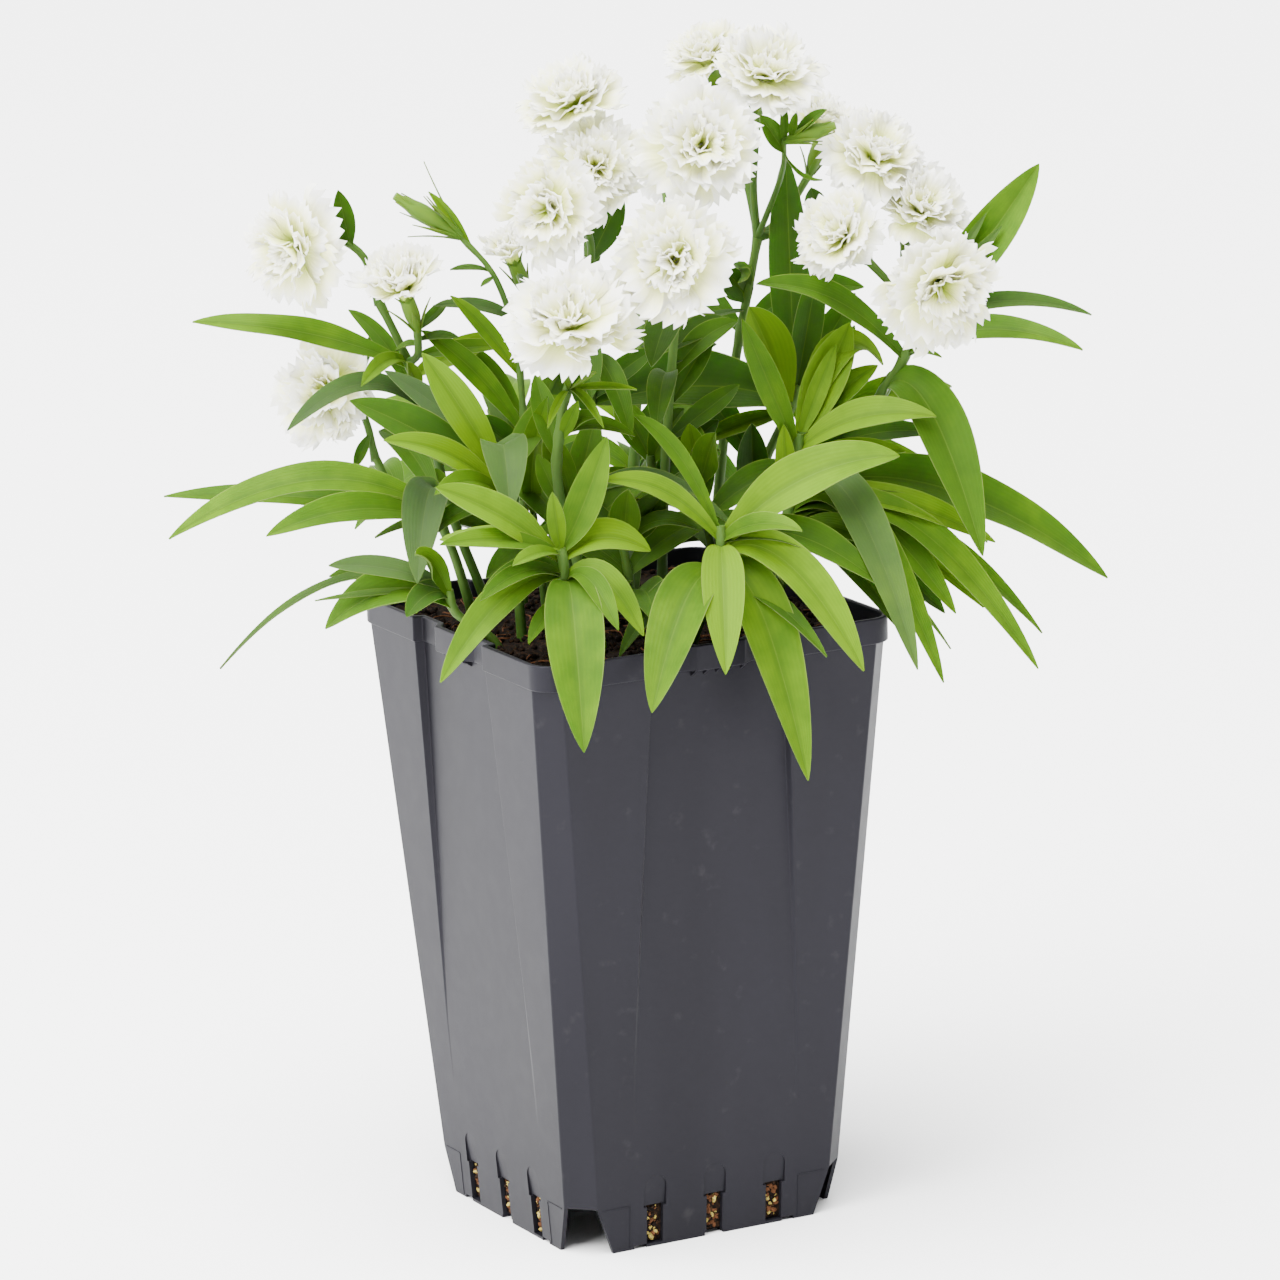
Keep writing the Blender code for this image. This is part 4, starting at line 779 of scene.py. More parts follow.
def rim_ring(z, inset, edge):
    """Outline of the rim: round corners, a shallow bay and a lobe in the middle of each side."""
    flush = -(RIM_HALF - inset)
    deep = flush + PANEL_DEPTH
    bay = PANEL_HALF_TOP - BAY_EASE + inset
    lobe = LOBE_HALF - inset
    near = deep - LOBE_ROUNDING
    corners = [(-bay, flush, edge), (PANEL_STEP - bay, deep, edge), (-lobe - LOBE_EASE, deep, edge),
               (-lobe, near, edge), (LOBE_EASE - lobe, flush, edge), (lobe - LOBE_EASE, flush, edge),
               (lobe, near, edge), (lobe + LOBE_EASE, deep, edge), (bay - PANEL_STEP, deep, edge),
               (bay, flush, edge)]
    places = [(*place, ARC_POINTS) for place in corners]
    return ring_of([*places, (-flush, flush, RIM_CORNER_RADIUS - inset, 2 * ARC_POINTS)], z)


def pot_rings(edge):
    """Rings of the pot's skin: up the outside, over the rim and down the inside."""
    rings = [wall_ring(z, 0.0, edge) for z in WALL_HEIGHTS]
    turns = [k * pi / (2 * ROUND_STEPS) for k in range(ROUND_STEPS + 1)]
    quarter = [(sin(turn), cos(turn)) for turn in turns]
    rings += [rim_ring(WALL_TOP_Z + edge * (1 - c), edge * (1 - s), edge) for s, c in quarter]
    rings += [rim_ring(POT_HEIGHT - edge * (1 - s), edge * (1 - c), edge) for s, c in quarter]
    rings += [rim_ring(POT_HEIGHT - edge * (1 - c), RIM_WALL - edge * (1 - s), edge) for s, c in quarter]
    ledge = WALL_TOP_Z + WALL
    rings.append(rim_ring(ledge, RIM_WALL, edge))
    rings += [wall_ring(z, WALL, edge) for z in (ledge, *INNER_HEIGHTS)]
    return rings


def side_solid(profile, half_low, half_high):
    """Solid on the front face: a profile of (depth, z) points, widened from low to high."""
    lowest = min(z for depth, z in profile)
    highest = max(z for depth, z in profile)
    rings = []
    for sign in (-1, 1):
        ring = []
        for depth, z in profile:
            half = half_low + (half_high - half_low) * share_up(z, lowest, highest)
            ring.append(Vector((sign * half, depth - wall_half(z), z)))
        rings.append(ring)
    return loft(rings)


def underside_solid():
    """Hollow under the raised floor, with its flanks leaning in over the troughs."""
    slope = (TROUGH_TOP_DEPTH - TROUGH_FOOT_DEPTH) / (FLOOR_TOP_Z - TROUGH_FOOT_Z)
    rings = []
    for z in (-OVERCUT, FLOOR_UNDER_Z):
        half = wall_half(z) - TROUGH_FOOT_DEPTH - slope * (z - TROUGH_FOOT_Z) - WALL * FLANK_SHARE
        rings.append([Vector((x * half, y * half, z)) for x, y in SQUARE])
    return loft(rings)


def corner_square(near, far, z):
    """Square ring at a height in the pot's front right corner, from a near to a far distance."""
    return [Vector((x, -y, z)) for x, y in ((near, far), (far, far), (far, near), (near, near))]


def corner_hollow():
    """Space under the floor's corner, open to the hollow under the floor."""
    rings = []
    for z in (-OVERCUT, FLOOR_UNDER_Z):
        outer = wall_half(z) - WALL
        rings.append(corner_square(FOOT_INNER, outer, z))
    return loft(rings)


def corner_notch():
    """Slanted cut that opens each corner of the skirt."""
    rings = []
    for z, half in ((-OVERCUT, SKIRT_HALF_FOOT), (FLOOR_UNDER_Z, SKIRT_HALF_TOP)):
        rings.append(corner_square(half, PAST_WALL, z))
    return loft(rings)


def slot():
    """One drainage slot through the skirt."""
    inside = WALL + 2 * GAP
    profile = [(-OVERCUT, SLOT_FOOT_Z), (inside, SLOT_FOOT_Z), (inside, SLOT_TOP_Z), (-OVERCUT, SLOT_TOP_Z)]
    return side_solid(profile, SLOT_WIDTH / 2, SLOT_WIDTH / 2)


def scoop():
    """Arched hollow above a slot, deepest at the slot's top edge."""
    half = SCOOP_WIDTH / 2
    arch = [(-half, SLOT_TOP_Z - ARCH_LAP), (half, SLOT_TOP_Z - ARCH_LAP)]
    for step in range(ARCH_STEPS + 1):
        angle = step * pi / ARCH_STEPS
        arch.append((half * cos(angle), SCOOP_TOP_Z - half + half * sin(angle)))
    outer = [Vector((across, -OVERCUT - wall_half(z), z)) for across, z in arch]
    inner = []
    for across, z in arch:
        depth = SCOOP_DEPTH * (1 - share_up(z, SLOT_TOP_Z, SCOOP_TOP_Z)) + SCOOP_LEAST
        inner.append(Vector((across, depth - wall_half(z), z)))
    return loft([outer, inner])


def foot_step(low, high):
    """Shallow cut that lifts part of the skirt's lower edge off the ground."""
    width = (high - low) / 2
    inside = TROUGH_FOOT_DEPTH + FOOT_STEP_REACH
    profile = [(-OVERCUT, -OVERCUT), (inside, -OVERCUT), (inside, FOOT_STEP), (-OVERCUT, FOOT_STEP)]
    return shifted(side_solid(profile, width, width), (low + high) / 2)


def trough():
    """Space for soil behind the slots."""
    near = WALL + TROUGH_EASE
    profile = [(near, TROUGH_FOOT_Z), (TROUGH_FOOT_DEPTH, TROUGH_FOOT_Z),
               (TROUGH_TOP_DEPTH, FLOOR_TOP_Z + OVERCUT), (near, FLOOR_TOP_Z + OVERCUT)]
    half = FOOT_INNER - WALL
    return side_solid(profile, half, half)


def side_cutters():
    """Cutters for one side's trough, slots, scoops and raised stretches of its lower edge."""
    cutters = [trough()]
    for place in (-SLOT_PITCH, 0, SLOT_PITCH):
        cutters += [shifted(slot(), place), shifted(scoop(), place)]
    for low, high in ((-FOOT_INNER, -LIP_OUTER), (-LIP_INNER, LIP_INNER), (LIP_OUTER, FOOT_INNER)):
        cutters.append(foot_step(low, high))
    return cutters


def rim_ribs(look):
    """Small triangular ribs under the rim's lobe."""
    top = WALL_TOP_Z + GAP
    flush = BITE - RIM_HALF
    wall = PANEL_DEPTH - wall_half(WALL_TOP_Z) + BITE
    ribs = []
    for k in range(RIBS):
        place = (k - (RIBS - 1) / 2) * look.gusset_pitch
        rings = [[Vector((x, flush, top)), Vector((x, wall, top)), Vector((x, wall, top - look.gusset_drop))]
                 for x in (place - RIB_HALF, place + RIB_HALF)]
        ribs.append(loft(rings))
    return ribs


def foot_outlines():
    """Raised outline on the outer part of each foot."""
    lines = []
    for sign in (-1, 1):
        inner = sign * (FOOT_INNER + OUTLINE_INSET)
        outer = sign * (SKIRT_HALF_TOP - OUTLINE_INSET - OUTLINE_LEAN)
        path = [(inner, OUTLINE_FOOT_Z), (inner, OUTLINE_TOP_Z), (outer, OUTLINE_TOP_Z)]
        for start, end in zip(path, path[1:]):
            lines.append(raised_line(start, end))
    return lines


def raised_line(start, end):
    """Thin ridge on the front wall between two places of (x, z)."""
    (x0, z0), (x1, z1) = start, end
    along = Vector((x1 - x0, 0, z1 - z0)).normalized()
    side = Vector((along.z, 0, -along.x)) * OUTLINE_HALF
    out = Vector((0, -OUTLINE_STAND, 0))
    rings = []
    for x, z in (start, end):
        base = Vector((x, OUTLINE_SINK - wall_half(z), z))
        rings.append([base - side, base + side, base + side * 0.6 + out, base - side * 0.6 + out])
    return loft(rings)


def curve_through(points, step):
    """Points about a step apart on a smooth curve through a stem's own points."""
    ends = [points[0] * 2 - points[1], *points, points[-1] * 2 - points[-2]]
    path = []
    for k in range(1, len(ends) - 2):
        a, b, c, d = ends[k - 1:k + 3]
        count = max(2, round((c - b).length / step))
        for i in range(count):
            t = i / count
            path.append(0.5 * (2 * b + (c - a) * t + (2 * a - 5 * b + 4 * c - d) * t * t
                               + (3 * b - a - 3 * c + d) * t * t * t))
    path.append(points[-1])
    return path


def blade_profile(t):
    """Half width of a lance-shaped leaf at a share of its length, as a share of its widest."""
    if t < LEAF_WIDEST:
        return LEAF_FOOT + (1 - LEAF_FOOT) * sin(pi / 2 * t / LEAF_WIDEST) ** LEAF_SWELL
    x = (t - LEAF_WIDEST) / (1 - LEAF_WIDEST)
    return max(1 - x ** TIP_FALL, 0.0) ** TIP_ROUND


def blade_row(centre, across, normal, half, waves, t, look):
    """Upper and lower points of one row across a leaf."""
    row = []
    under = []
    for k, wave in enumerate(waves):
        a = 2 * k / look.leaf_columns - 1
        rise = half * look.channel * abs(a) ** MARGIN_RISE + wave
        midrib = MIDRIB_DEPTH * exp(-(a / MIDRIB_WIDTH) ** 2) * (1 - t)
        thick = look.leaf_thickness * (1 - MARGIN_THINNING * abs(a)) + midrib
        place = centre + across * a * half + normal * rise
        row.append(place + normal * look.leaf_thickness / 4)
        under.append(place - normal * thick)
    return row, under


def add_leaf(shell, leaf, look, rng):
    """Add one channelled leaf, gently waved and twisted, along the curve that the plan gives."""
    base = at(*leaf.base)
    tip = at(*leaf.tip)
    bend = base.lerp(tip, LEAF_BEND) + Vector((0, 0, 2 * leaf.lift)) + at(1, 0, 0) * 2 * leaf.sway
    chord = tip - base
    flat = Vector((chord.x, chord.y, 0)).normalized()
    hint = Vector((0, 0, 1)) + flat * LEAF_LEAN + at(0, -1, 0) * leaf.front
    tone = rng.uniform(0.35, 0.75) if leaf.tone is None else leaf.tone
    size = chord.length
    phase = rng.uniform(0, 2 * pi)
    twist = rng.uniform(-LEAF_TWIST, LEAF_TWIST)
    ripple = rng.uniform(*LEAF_RIPPLE) * min(leaf.width / 12, 1.0)
    places = [2 * k / look.leaf_columns - 1 for k in range(look.leaf_columns + 1)]
    stations = max(LEAST_STATIONS, round(look.leaf_stations * min(size / 50, 1.0)))
    upper = []
    lower = []
    values = []
    for i in range(stations + 1):
        t = 1 - (1 - i / stations) ** STATION_EASE
        centre = base * (1 - t) ** 2 + bend * 2 * t * (1 - t) + tip * t * t
        along = ((bend - base) * (1 - t) + (tip - bend) * t).normalized()
        normal = (hint - along * hint.dot(along)).normalized()
        normal = Matrix.Rotation(radians(leaf.roll + twist * t * t), 3, along) @ normal
        half = max(leaf.width / 2 * blade_profile(t), TIP_HALF)
        waves = [ripple * a * a * sin(phase + size * t * RIPPLE_PITCH + RIPPLE_SHIFT * (a > 0)) * sin(pi * t)
                 for a in places]
        row, under = blade_row(centre, along.cross(normal), normal, half, waves, t, look)
        upper.append(row)
        lower.append(under)
        values.append([(t, k / look.leaf_columns, tone, leaf.grey) for k in range(look.leaf_columns + 1)])
    shell.plate(upper, lower, values, 0)


def add_stem(shell, stem, joints):
    """Add one stem, swollen where leaves or stalks join it."""
    path = curve_through([at(*p) for p in stem.points], STEM_STEP)
    last = len(path) - 1
    radii = []
    for k, point in enumerate(path):
        swell = max((exp(-((point - joint).length / JOINT_REACH) ** 2) for joint in joints), default=0.0)
        radii.append(stem.radius * (1 - STEM_NARROWING * k / last) * (1 + JOINT_SWELL * swell))
    shell.tube(path, radii, STEM_SIDES, STEM_KIND)


def cross_axes(facing):
    """Two directions at right angles to a direction and to each other."""
    side = facing.orthogonal().normalized()
    return side, facing.cross(side)


def outward(axes, turn):
    """Direction at a turn round an axis, from its two cross axes."""
    return axes[0] * cos(turn) + axes[1] * sin(turn)


def spike(shell, base, direction, length, width, out, curl):
    """Add a small pointed scale that stands away from what carries it."""
    direction = direction.normalized()
    across = direction.cross(out).normalized()
    normal = (out - direction * out.dot(direction)).normalized()
    places = (-1, -0.5, 0, 0.5, 1)
    upper = []
    values = []
    for i in range(SCALE_STEPS + 1):
        t = i / SCALE_STEPS
        centre = base + direction * length * t + out * curl * t * t
        half = max(width / 2 * (1 - t ** 1.6) * (0.75 + t * (1 - t)), 0.06)
        upper.append([centre + across * half * a + normal * (0.25 - abs(a) * half * 0.35) for a in places])
        values.append([(t, (a + 1) / 2, 0.5, 0.1) for a in places])
    lower = [[p - normal * SCALE_THICKNESS for p in row] for row in upper]
    shell.plate(upper, lower, values, CALYX_KIND)


def add_calyx(shell, bloom, look, rng):
    """Add a bloom's sleeve: a ribbed tube with five teeth and a ring of pointed scales at its foot."""
    facing = at(*bloom.facing).normalized()
    top = at(*bloom.heart) - facing * (look.heart_height / 2 + GAP)
    foot = top - facing * look.calyx_length
    axes = cross_axes(facing)
    path = [foot.lerp(top, k / 10) for k in range(11)]
    radii = [CALYX_FOOT + CALYX_SWELL * smooth(k / 5) - 0.15 * max(k - 7, 0) / 3 for k in range(11)]
    shell.tube(path, radii, CALYX_SIDES, CALYX_KIND, shade=0.55)
    for k in range(TEETH):
        out = outward(axes, 2 * pi * k / TEETH + rng.uniform(-0.1, 0.1))
        base = top + out * 2.2 - facing * 1.0
        spike(shell, base, facing + out * 0.25, TOOTH_LENGTH, TOOTH_WIDTH, out, 0.8)
    for k in range(SCALES):
        out = outward(axes, 2 * pi * (k + 0.4) / SCALES + rng.uniform(-0.3, 0.3))
        length = rng.uniform(0.65, 1.0) * look.calyx_length
        spike(shell, foot + out * 1.4 + facing * 0.6, facing + out * rng.uniform(0.2, 0.45), length,
              SCALE_WIDTH, out, rng.uniform(0.5, 2.5))


def calyx_foot(bloom, look):
    """Where a stem meets a bloom's calyx."""
    facing = at(*bloom.facing).normalized()
    return at(*bloom.heart) - facing * (look.heart_height / 2 + GAP + look.calyx_length - 1)


def add_stalk(shell, start, bloom, look):
    """Add the thin stalk from a branching point to a bloom's calyx."""
    foot = calyx_foot(bloom, look)
    facing = at(*bloom.facing).normalized()
    first = at(*start)
    reach = (foot - first).length
    middle = first.lerp(foot - facing * reach * 0.35, 0.6)
    path = curve_through([first, middle, foot], STEM_STEP)
    last = len(path) - 1
    radii = [STALK_RADIUS + 0.5 * exp(-(k / 1.2) ** 2) + 0.15 * smooth((k - last + 3) / 3)
             for k in range(len(path))]
    shell.tube(path, radii, STEM_SIDES, STEM_KIND)


def bud_radius(bud, share):
    """Radius of a closed bud at a share of its length."""
    swell = sin(pi * min(share * 0.62 + 0.02, 0.5)) ** 0.8
    return BUD_FOOT + (bud.radius - BUD_FOOT) * swell * (1 - 0.8 * smooth((share - 0.55) / 0.45))


def add_bud(shell, bud, rng):
    """Add a closed bud: a ribbed sleeve with five teeth and long pointed scales."""
    base = at(*bud.base)
    tip = at(*bud.tip)
    facing = (tip - base).normalized()
    length = (tip - base).length
    axes = cross_axes(facing)
    shares = [k / 12 for k in range(13)]
    shell.tube([base.lerp(tip, s) for s in shares], [bud_radius(bud, s) for s in shares], BUD_SIDES,
               CALYX_KIND, shade=0.55)
    for k in range(TEETH):
        out = outward(axes, 2 * pi * k / TEETH)
        spike(shell, base + facing * length * 0.55 + out * bud.radius * 0.85, facing - out * 0.12,
              length * 0.4, 2.2, out, 0.3)
    for k in range(BUD_SCALES):
        out = outward(axes, 2 * pi * (k + 0.3) / BUD_SCALES + rng.uniform(-0.25, 0.25))
        direction = facing + out * rng.uniform(0.18, 0.5)
        reach = length * rng.uniform(0.6, 1.05)
        spike(shell, base + out * 1.0, direction, reach, 1.9, out, rng.uniform(0.5, 3.0))


def petal_spine(lean_start, lean_end, curl, rows):
    """Reach out, rise and lean at each row of a petal that is 1 long."""
    spine = [(0.0, 0.0, 0.0)]
    out = 0.0
    up = 0.0
    for i in range(1, rows + 1):
        s = (i - 0.5) / rows
        lean = lean_start + (lean_end - lean_start) * smooth(s / CLAW_SHARE)
        lean += curl * smooth((s - CLAW_SHARE) / (1 - CLAW_SHARE))
        out += sin(lean) / rows
        up += cos(lean) / rows
        spine.append((out, up, lean))
    return spine


def on_spine(spine, share):
    """Reach out, rise and lean at a share of a petal's spine."""
    slot = min(share, 1.0) * (len(spine) - 1)
    low = min(int(slot), len(spine) - 2)
    part = slot - low
    before, after = spine[low:low + 2]
    return before[0] + (after[0] - before[0]) * part, before[1] + (after[1] - before[1]) * part, after[2]


def petal_point(petal, s, a, half, tooth, look):
    """Middle of a petal's sheet and the sheet's normal, at a share along it and a place across it."""
    rim = smooth((s - RIM_START) / (1 - RIM_START))
    span = 1 - SHOULDER_DROP * a * a * smooth(s * 1.2) - look.tooth_depth * tooth * rim
    reach, rise, lean = on_spine(petal.spine, s * span)
    normal = petal.facing * sin(lean) - petal.out * cos(lean)
    wave = sin(petal.phase + petal.waves * pi * a) * s * s
    wave += FINE_WAVE * sin(2.3 * petal.phase + 5.1 * a * pi) * rim
    place = petal.start + (petal.out * reach + petal.facing * rise) * petal.length
    place += petal.sideways * (half * sin(a * FAN_BEND) / sin(FAN_BEND) + petal.fold * petal.length * s * s)
    place += normal * (petal.ruffle * wave + petal.length * CUP_RISE * a * a * s)
    return place, normal


def add_petal(shell, start, out, facing, whorl, length, look, rng, cup):
    """Add one petal: a narrow claw that opens into a ruffled fan with a toothed edge."""
    rows = look.petal_rows
    columns = 2 * look.petal_teeth
    lean_end = radians(whorl.spread * (1 - cup) + rng.uniform(-20, 15))
    curl = radians(rng.uniform(-10, 32)) * (1 - cup)
    spine = petal_spine(lean_end * 0.45, lean_end, curl, rows)
    petal = Petal(start, out, facing, facing.cross(out), length, spine,
                  ruffle=length * look.ruffle * rng.uniform(0.6, 1.3), phase=rng.uniform(0, 2 * pi),
                  waves=rng.uniform(1.6, 2.8), fold=rng.uniform(-0.16, 0.16))
    teeth = [rng.uniform(0.45, 1.25) if j % 2 else rng.uniform(-0.15, 0.2) for j in range(columns + 1)]
    tint = rng.uniform(0.0, 1.0)
    upper = []
    lower = []
    values = []
    for i in range(rows + 1):
        s = i / rows
        half = length * whorl.width * (CLAW_HALF + FAN_HALF * smooth((s - 0.08) / 0.8))
        points = [petal_point(petal, s, 2 * j / columns - 1, half, tooth, look)
                  for j, tooth in enumerate(teeth)]
        upper.append([place + normal * look.petal_thickness / 2 for place, normal in points])
        lower.append([place - normal * look.petal_thickness / 2 for place, normal in points])
        values.append([(s, j / columns, tint, 0.0) for j in range(columns + 1)])
    shell.plate(upper, lower, values, 0)


def add_styles(shell, centre, facing, length, rng):
    """Add the thin pale threads that stand in a bloom's middle."""
    axes = cross_axes(facing)
    for k in range(STYLES):
        out = outward(axes, rng.uniform(0, 2 * pi))
        path = [centre + facing * length * STYLE_REACH * s + out * length * STYLE_SPREAD * s * s * (1 + s)
                for s in (0, 0.2, 0.4, 0.6, 0.8, 1.0)]
        shell.tube(path, [0.35, 0.33, 0.3, 0.28, 0.25, 0.15], 6, 0, shade=1.0)


def make_nodes(name):
    """Return a new material with its tree and its shader."""
    made = bpy.data.materials.new(name)
    made.use_nodes = True
    tree = made.node_tree
    return made, tree, tree.nodes["Principled BSDF"]


def link(tree, source, target):
    """Link an output socket, or set a plain value, on an input socket."""
    if isinstance(source, (int, float)):
        target.default_value = source
    elif isinstance(source, bpy.types.NodeSocket):
        tree.links.new(source, target)
    else:
        target.default_value = (*source, 1.0)


def maths(tree, operation, first, second=0.0, third=None, clamp=False):
    """Add a Math node and return its output."""
    node = tree.nodes.new("ShaderNodeMath")
    node.operation = operation
    node.use_clamp = clamp
    link(tree, first, node.inputs[0])
    link(tree, second, node.inputs[1])
    if third is not None:
        link(tree, third, node.inputs[2])
    return node.outputs[0]


def mixed(tree, share, first, second, blend="MIX"):
    """Add a colour mix and return its output."""
    node = tree.nodes.new("ShaderNodeMix")
    node.data_type = "RGBA"
    node.blend_type = blend
    link(tree, share, node.inputs["Factor"])
    link(tree, first, node.inputs["A"])
    link(tree, second, node.inputs["B"])
    return node.outputs["Result"]


def ramp(tree, share, stops):
    """Add a colour ramp through stops of (place, colour) and return its colour."""
    node = tree.nodes.new("ShaderNodeValToRGB")
    elements = node.color_ramp.elements
    while len(elements) < len(stops):
        elements.new(0.5)
    for element, (place, colour) in zip(elements, stops):
        element.position = place
        element.color = (*colour, 1.0)
    link(tree, share, node.inputs["Fac"])
    return node.outputs["Color"]


def window(tree, value, low, high):
    """Ease from 0 to 1 as a value goes from low to high."""
    node = tree.nodes.new("ShaderNodeMapRange")
    node.interpolation_type = "SMOOTHSTEP"
    link(tree, value, node.inputs["Value"])
    node.inputs["From Min"].default_value = low
    node.inputs["From Max"].default_value = high
    return node.outputs["Result"]


def grain(tree, scale, detail=3.0, stretch=(1, 1, 1)):
    """Add noise in object space, in repeats a metre, and return its value."""
    place = tree.nodes.new("ShaderNodeTexCoord")
    mapping = tree.nodes.new("ShaderNodeMapping")
    mapping.inputs["Scale"].default_value = stretch
    tree.links.new(place.outputs["Object"], mapping.inputs["Vector"])
    node = tree.nodes.new("ShaderNodeTexNoise")
    node.inputs["Scale"].default_value = scale
    node.inputs["Detail"].default_value = detail
    tree.links.new(mapping.outputs["Vector"], node.inputs["Vector"])
    return node.outputs["Fac"]


def bumped(tree, shader, height, distance, strength=1.0):
    """Drive a shader's normal with a height."""
    node = tree.nodes.new("ShaderNodeBump")
    node.inputs["Distance"].default_value = distance
    node.inputs["Strength"].default_value = strength
    link(tree, height, node.inputs["Height"])
    tree.links.new(node.outputs["Normal"], shader.inputs["Normal"])


def growth(tree):
    """Return the growth values: length, breadth, tone, and grey with 2 added on an underside."""
    node = tree.nodes.new("ShaderNodeAttribute")
    node.attribute_name = "growth"
    parts = tree.nodes.new("ShaderNodeSeparateColor")
    tree.links.new(node.outputs["Color"], parts.inputs["Color"])
    return parts.outputs["Red"], parts.outputs["Green"], parts.outputs["Blue"], node.outputs["Alpha"]


def vein_lines(tree, blotch, across, wander, lines):
    """Waves across a blade that follow its length, moved a little by the noise."""
    turns = maths(tree, "MULTIPLY", across, lines)
    return maths(tree, "SINE", maths(tree, "MULTIPLY_ADD", blotch, wander, turns))


def leaf_material(look):
    """Leaf: green by tone, with parallel veins, a paler midrib and margin, a dull underside, a painted shade
    band beside the midrib and painted shade towards its base.
    """
    made, tree, shader = make_nodes("leaf_blade")
    along, across, tone, mark = growth(tree)
    under = maths(tree, "GREATER_THAN", mark, 1.5)
    grey = maths(tree, "SUBTRACT", mark, maths(tree, "MULTIPLY", under, 2.0))
    off_middle = maths(tree, "ABSOLUTE", maths(tree, "MULTIPLY_ADD", across, 2.0, -1.0))
    blotch = grain(tree, 45.0)
    fine = grain(tree, 700.0)
    streak = grain(tree, 170.0)
    shade = maths(tree, "MULTIPLY_ADD", streak, 0.3, maths(tree, "ADD", tone, -0.43))
    shade = maths(tree, "MULTIPLY_ADD", blotch, 0.6, shade)
    # The blade darkens towards its base: partly the leaf's own colour, partly painted shade deep inside the
    # plant
    shade = maths(tree, "MULTIPLY_ADD", along, 0.16, shade, clamp=True)
    colour = ramp(tree, shade, (
        (0.0, look.leaf_dark), (0.35, look.leaf_deep), (0.62, look.leaf_middle), (1.0, look.leaf_bright)))
    veins = vein_lines(tree, blotch, across, 3.0, 75.0)
    colour = mixed(tree, maths(tree, "MULTIPLY_ADD", veins, 0.05, 0.07), colour, (0.015, 0.04, 0.003))
    middle = maths(tree, "SUBTRACT", 1.0, window(tree, off_middle, 0.01, 0.05))
    colour = mixed(tree, maths(tree, "MULTIPLY", middle, 0.35), colour, (0.075, 0.13, 0.012))
    # Painted shade: a dark band beside the midrib, where the fold of the leaf lies in shade
    inner = window(tree, off_middle, 0.0, 0.05)
    painted_crease_shade = maths(tree, "SUBTRACT", inner, window(tree, off_middle, 0.05, 0.3))
    colour = mixed(tree, maths(tree, "MULTIPLY", painted_crease_shade, 0.4), colour, look.leaf_deep)
    rim = window(tree, off_middle, 0.95, 1.0)
    colour = mixed(tree, maths(tree, "MULTIPLY", rim, 0.55), colour, look.leaf_margin)
    colour = mixed(tree, maths(tree, "MULTIPLY", grey, 0.7), colour, (0.036, 0.055, 0.026))
    colour = mixed(tree, maths(tree, "MULTIPLY", under, 0.4), colour, (0.042, 0.075, 0.013))
    link(tree, colour, shader.inputs["Base Color"])
    link(tree, maths(tree, "MULTIPLY_ADD", fine, 0.2, 0.4), shader.inputs["Roughness"])
    shader.inputs["Specular IOR Level"].default_value = 0.04
    shader.inputs["Subsurface Weight"].default_value = 0.15
    shader.inputs["Subsurface Radius"].default_value = (0.6, 1.0, 0.15)
    shader.inputs["Subsurface Scale"].default_value = 0.002
    height = maths(tree, "ADD", maths(tree, "MULTIPLY", veins, 0.15), maths(tree, "MULTIPLY", fine, 0.5))
    height = maths(tree, "SUBTRACT", height, maths(tree, "MULTIPLY", middle, 0.9))
    bumped(tree, shader, height, 0.00012, 0.7)
    return made


def green_material(name, colour_low, colour_high, ribs):
    """Stem or calyx: green with a pale waxy bloom and fine ribs."""
    made, tree, shader = make_nodes(name)
    along, around = growth(tree)[:2]
    blotch = grain(tree, 60.0)
    share = window(tree, maths(tree, "MULTIPLY_ADD", along, 0.5, blotch), 0.3, 1.2)
    colour = mixed(tree, share, colour_low, colour_high)
    rib = maths(tree, "SINE", maths(tree, "MULTIPLY", around, ribs * 2 * pi))
    colour = mixed(tree, maths(tree, "MULTIPLY_ADD", rib, 0.08, 0.1), colour, (0.03, 0.07, 0.02))
    link(tree, colour, shader.inputs["Base Color"])
    link(tree, maths(tree, "MULTIPLY_ADD", blotch, 0.2, 0.4), shader.inputs["Roughness"])
    shader.inputs["Specular IOR Level"].default_value = 0.08
    shader.inputs["Subsurface Weight"].default_value = 0.1
    shader.inputs["Subsurface Scale"].default_value = 0.002
    bumped(tree, shader, rib, 0.0001, 0.5)
    return made


def petal_material(look):
    """Petal: soft white that turns cream and yellow-green towards its claw, partly its own colour and partly
    painted shade deep inside the bloom.
    """
    made, tree, shader = make_nodes("petal")
    along, across, tint = growth(tree)[:3]
    blotch = grain(tree, 160.0)
    place = maths(tree, "MULTIPLY_ADD", blotch, 0.3, maths(tree, "ADD", along, -0.15))
    place = maths(tree, "MULTIPLY_ADD", tint, 0.24, maths(tree, "ADD", place, -0.12), clamp=True)
    # The cream and yellow-green stops towards the claw are partly the petal's own colour and partly painted
    # shade inside the bloom
    colour = ramp(tree, place, (
        (0.0, (0.22, 0.38, 0.02)), (0.31, look.petal_claw),
        (0.64, look.petal_cream), (0.96, look.petal_white)))
    veins = vein_lines(tree, blotch, across, 4.0, 95.0)
    colour = mixed(tree, maths(tree, "MULTIPLY_ADD", veins, 0.02, 0.02), colour, (0.66, 0.66, 0.42))
    link(tree, colour, shader.inputs["Base Color"])
    link(tree, maths(tree, "MULTIPLY_ADD", blotch, 0.15, 0.5), shader.inputs["Roughness"])
    shader.inputs["Specular IOR Level"].default_value = 0.3
    shader.inputs["Subsurface Weight"].default_value = 0.5
    shader.inputs["Subsurface Radius"].default_value = (1.0, 1.0, 0.8)
    shader.inputs["Subsurface Scale"].default_value = 0.002
    shader.inputs["Sheen Weight"].default_value = 0.15
    bumped(tree, shader, veins, 0.00008, 0.6)
    return made


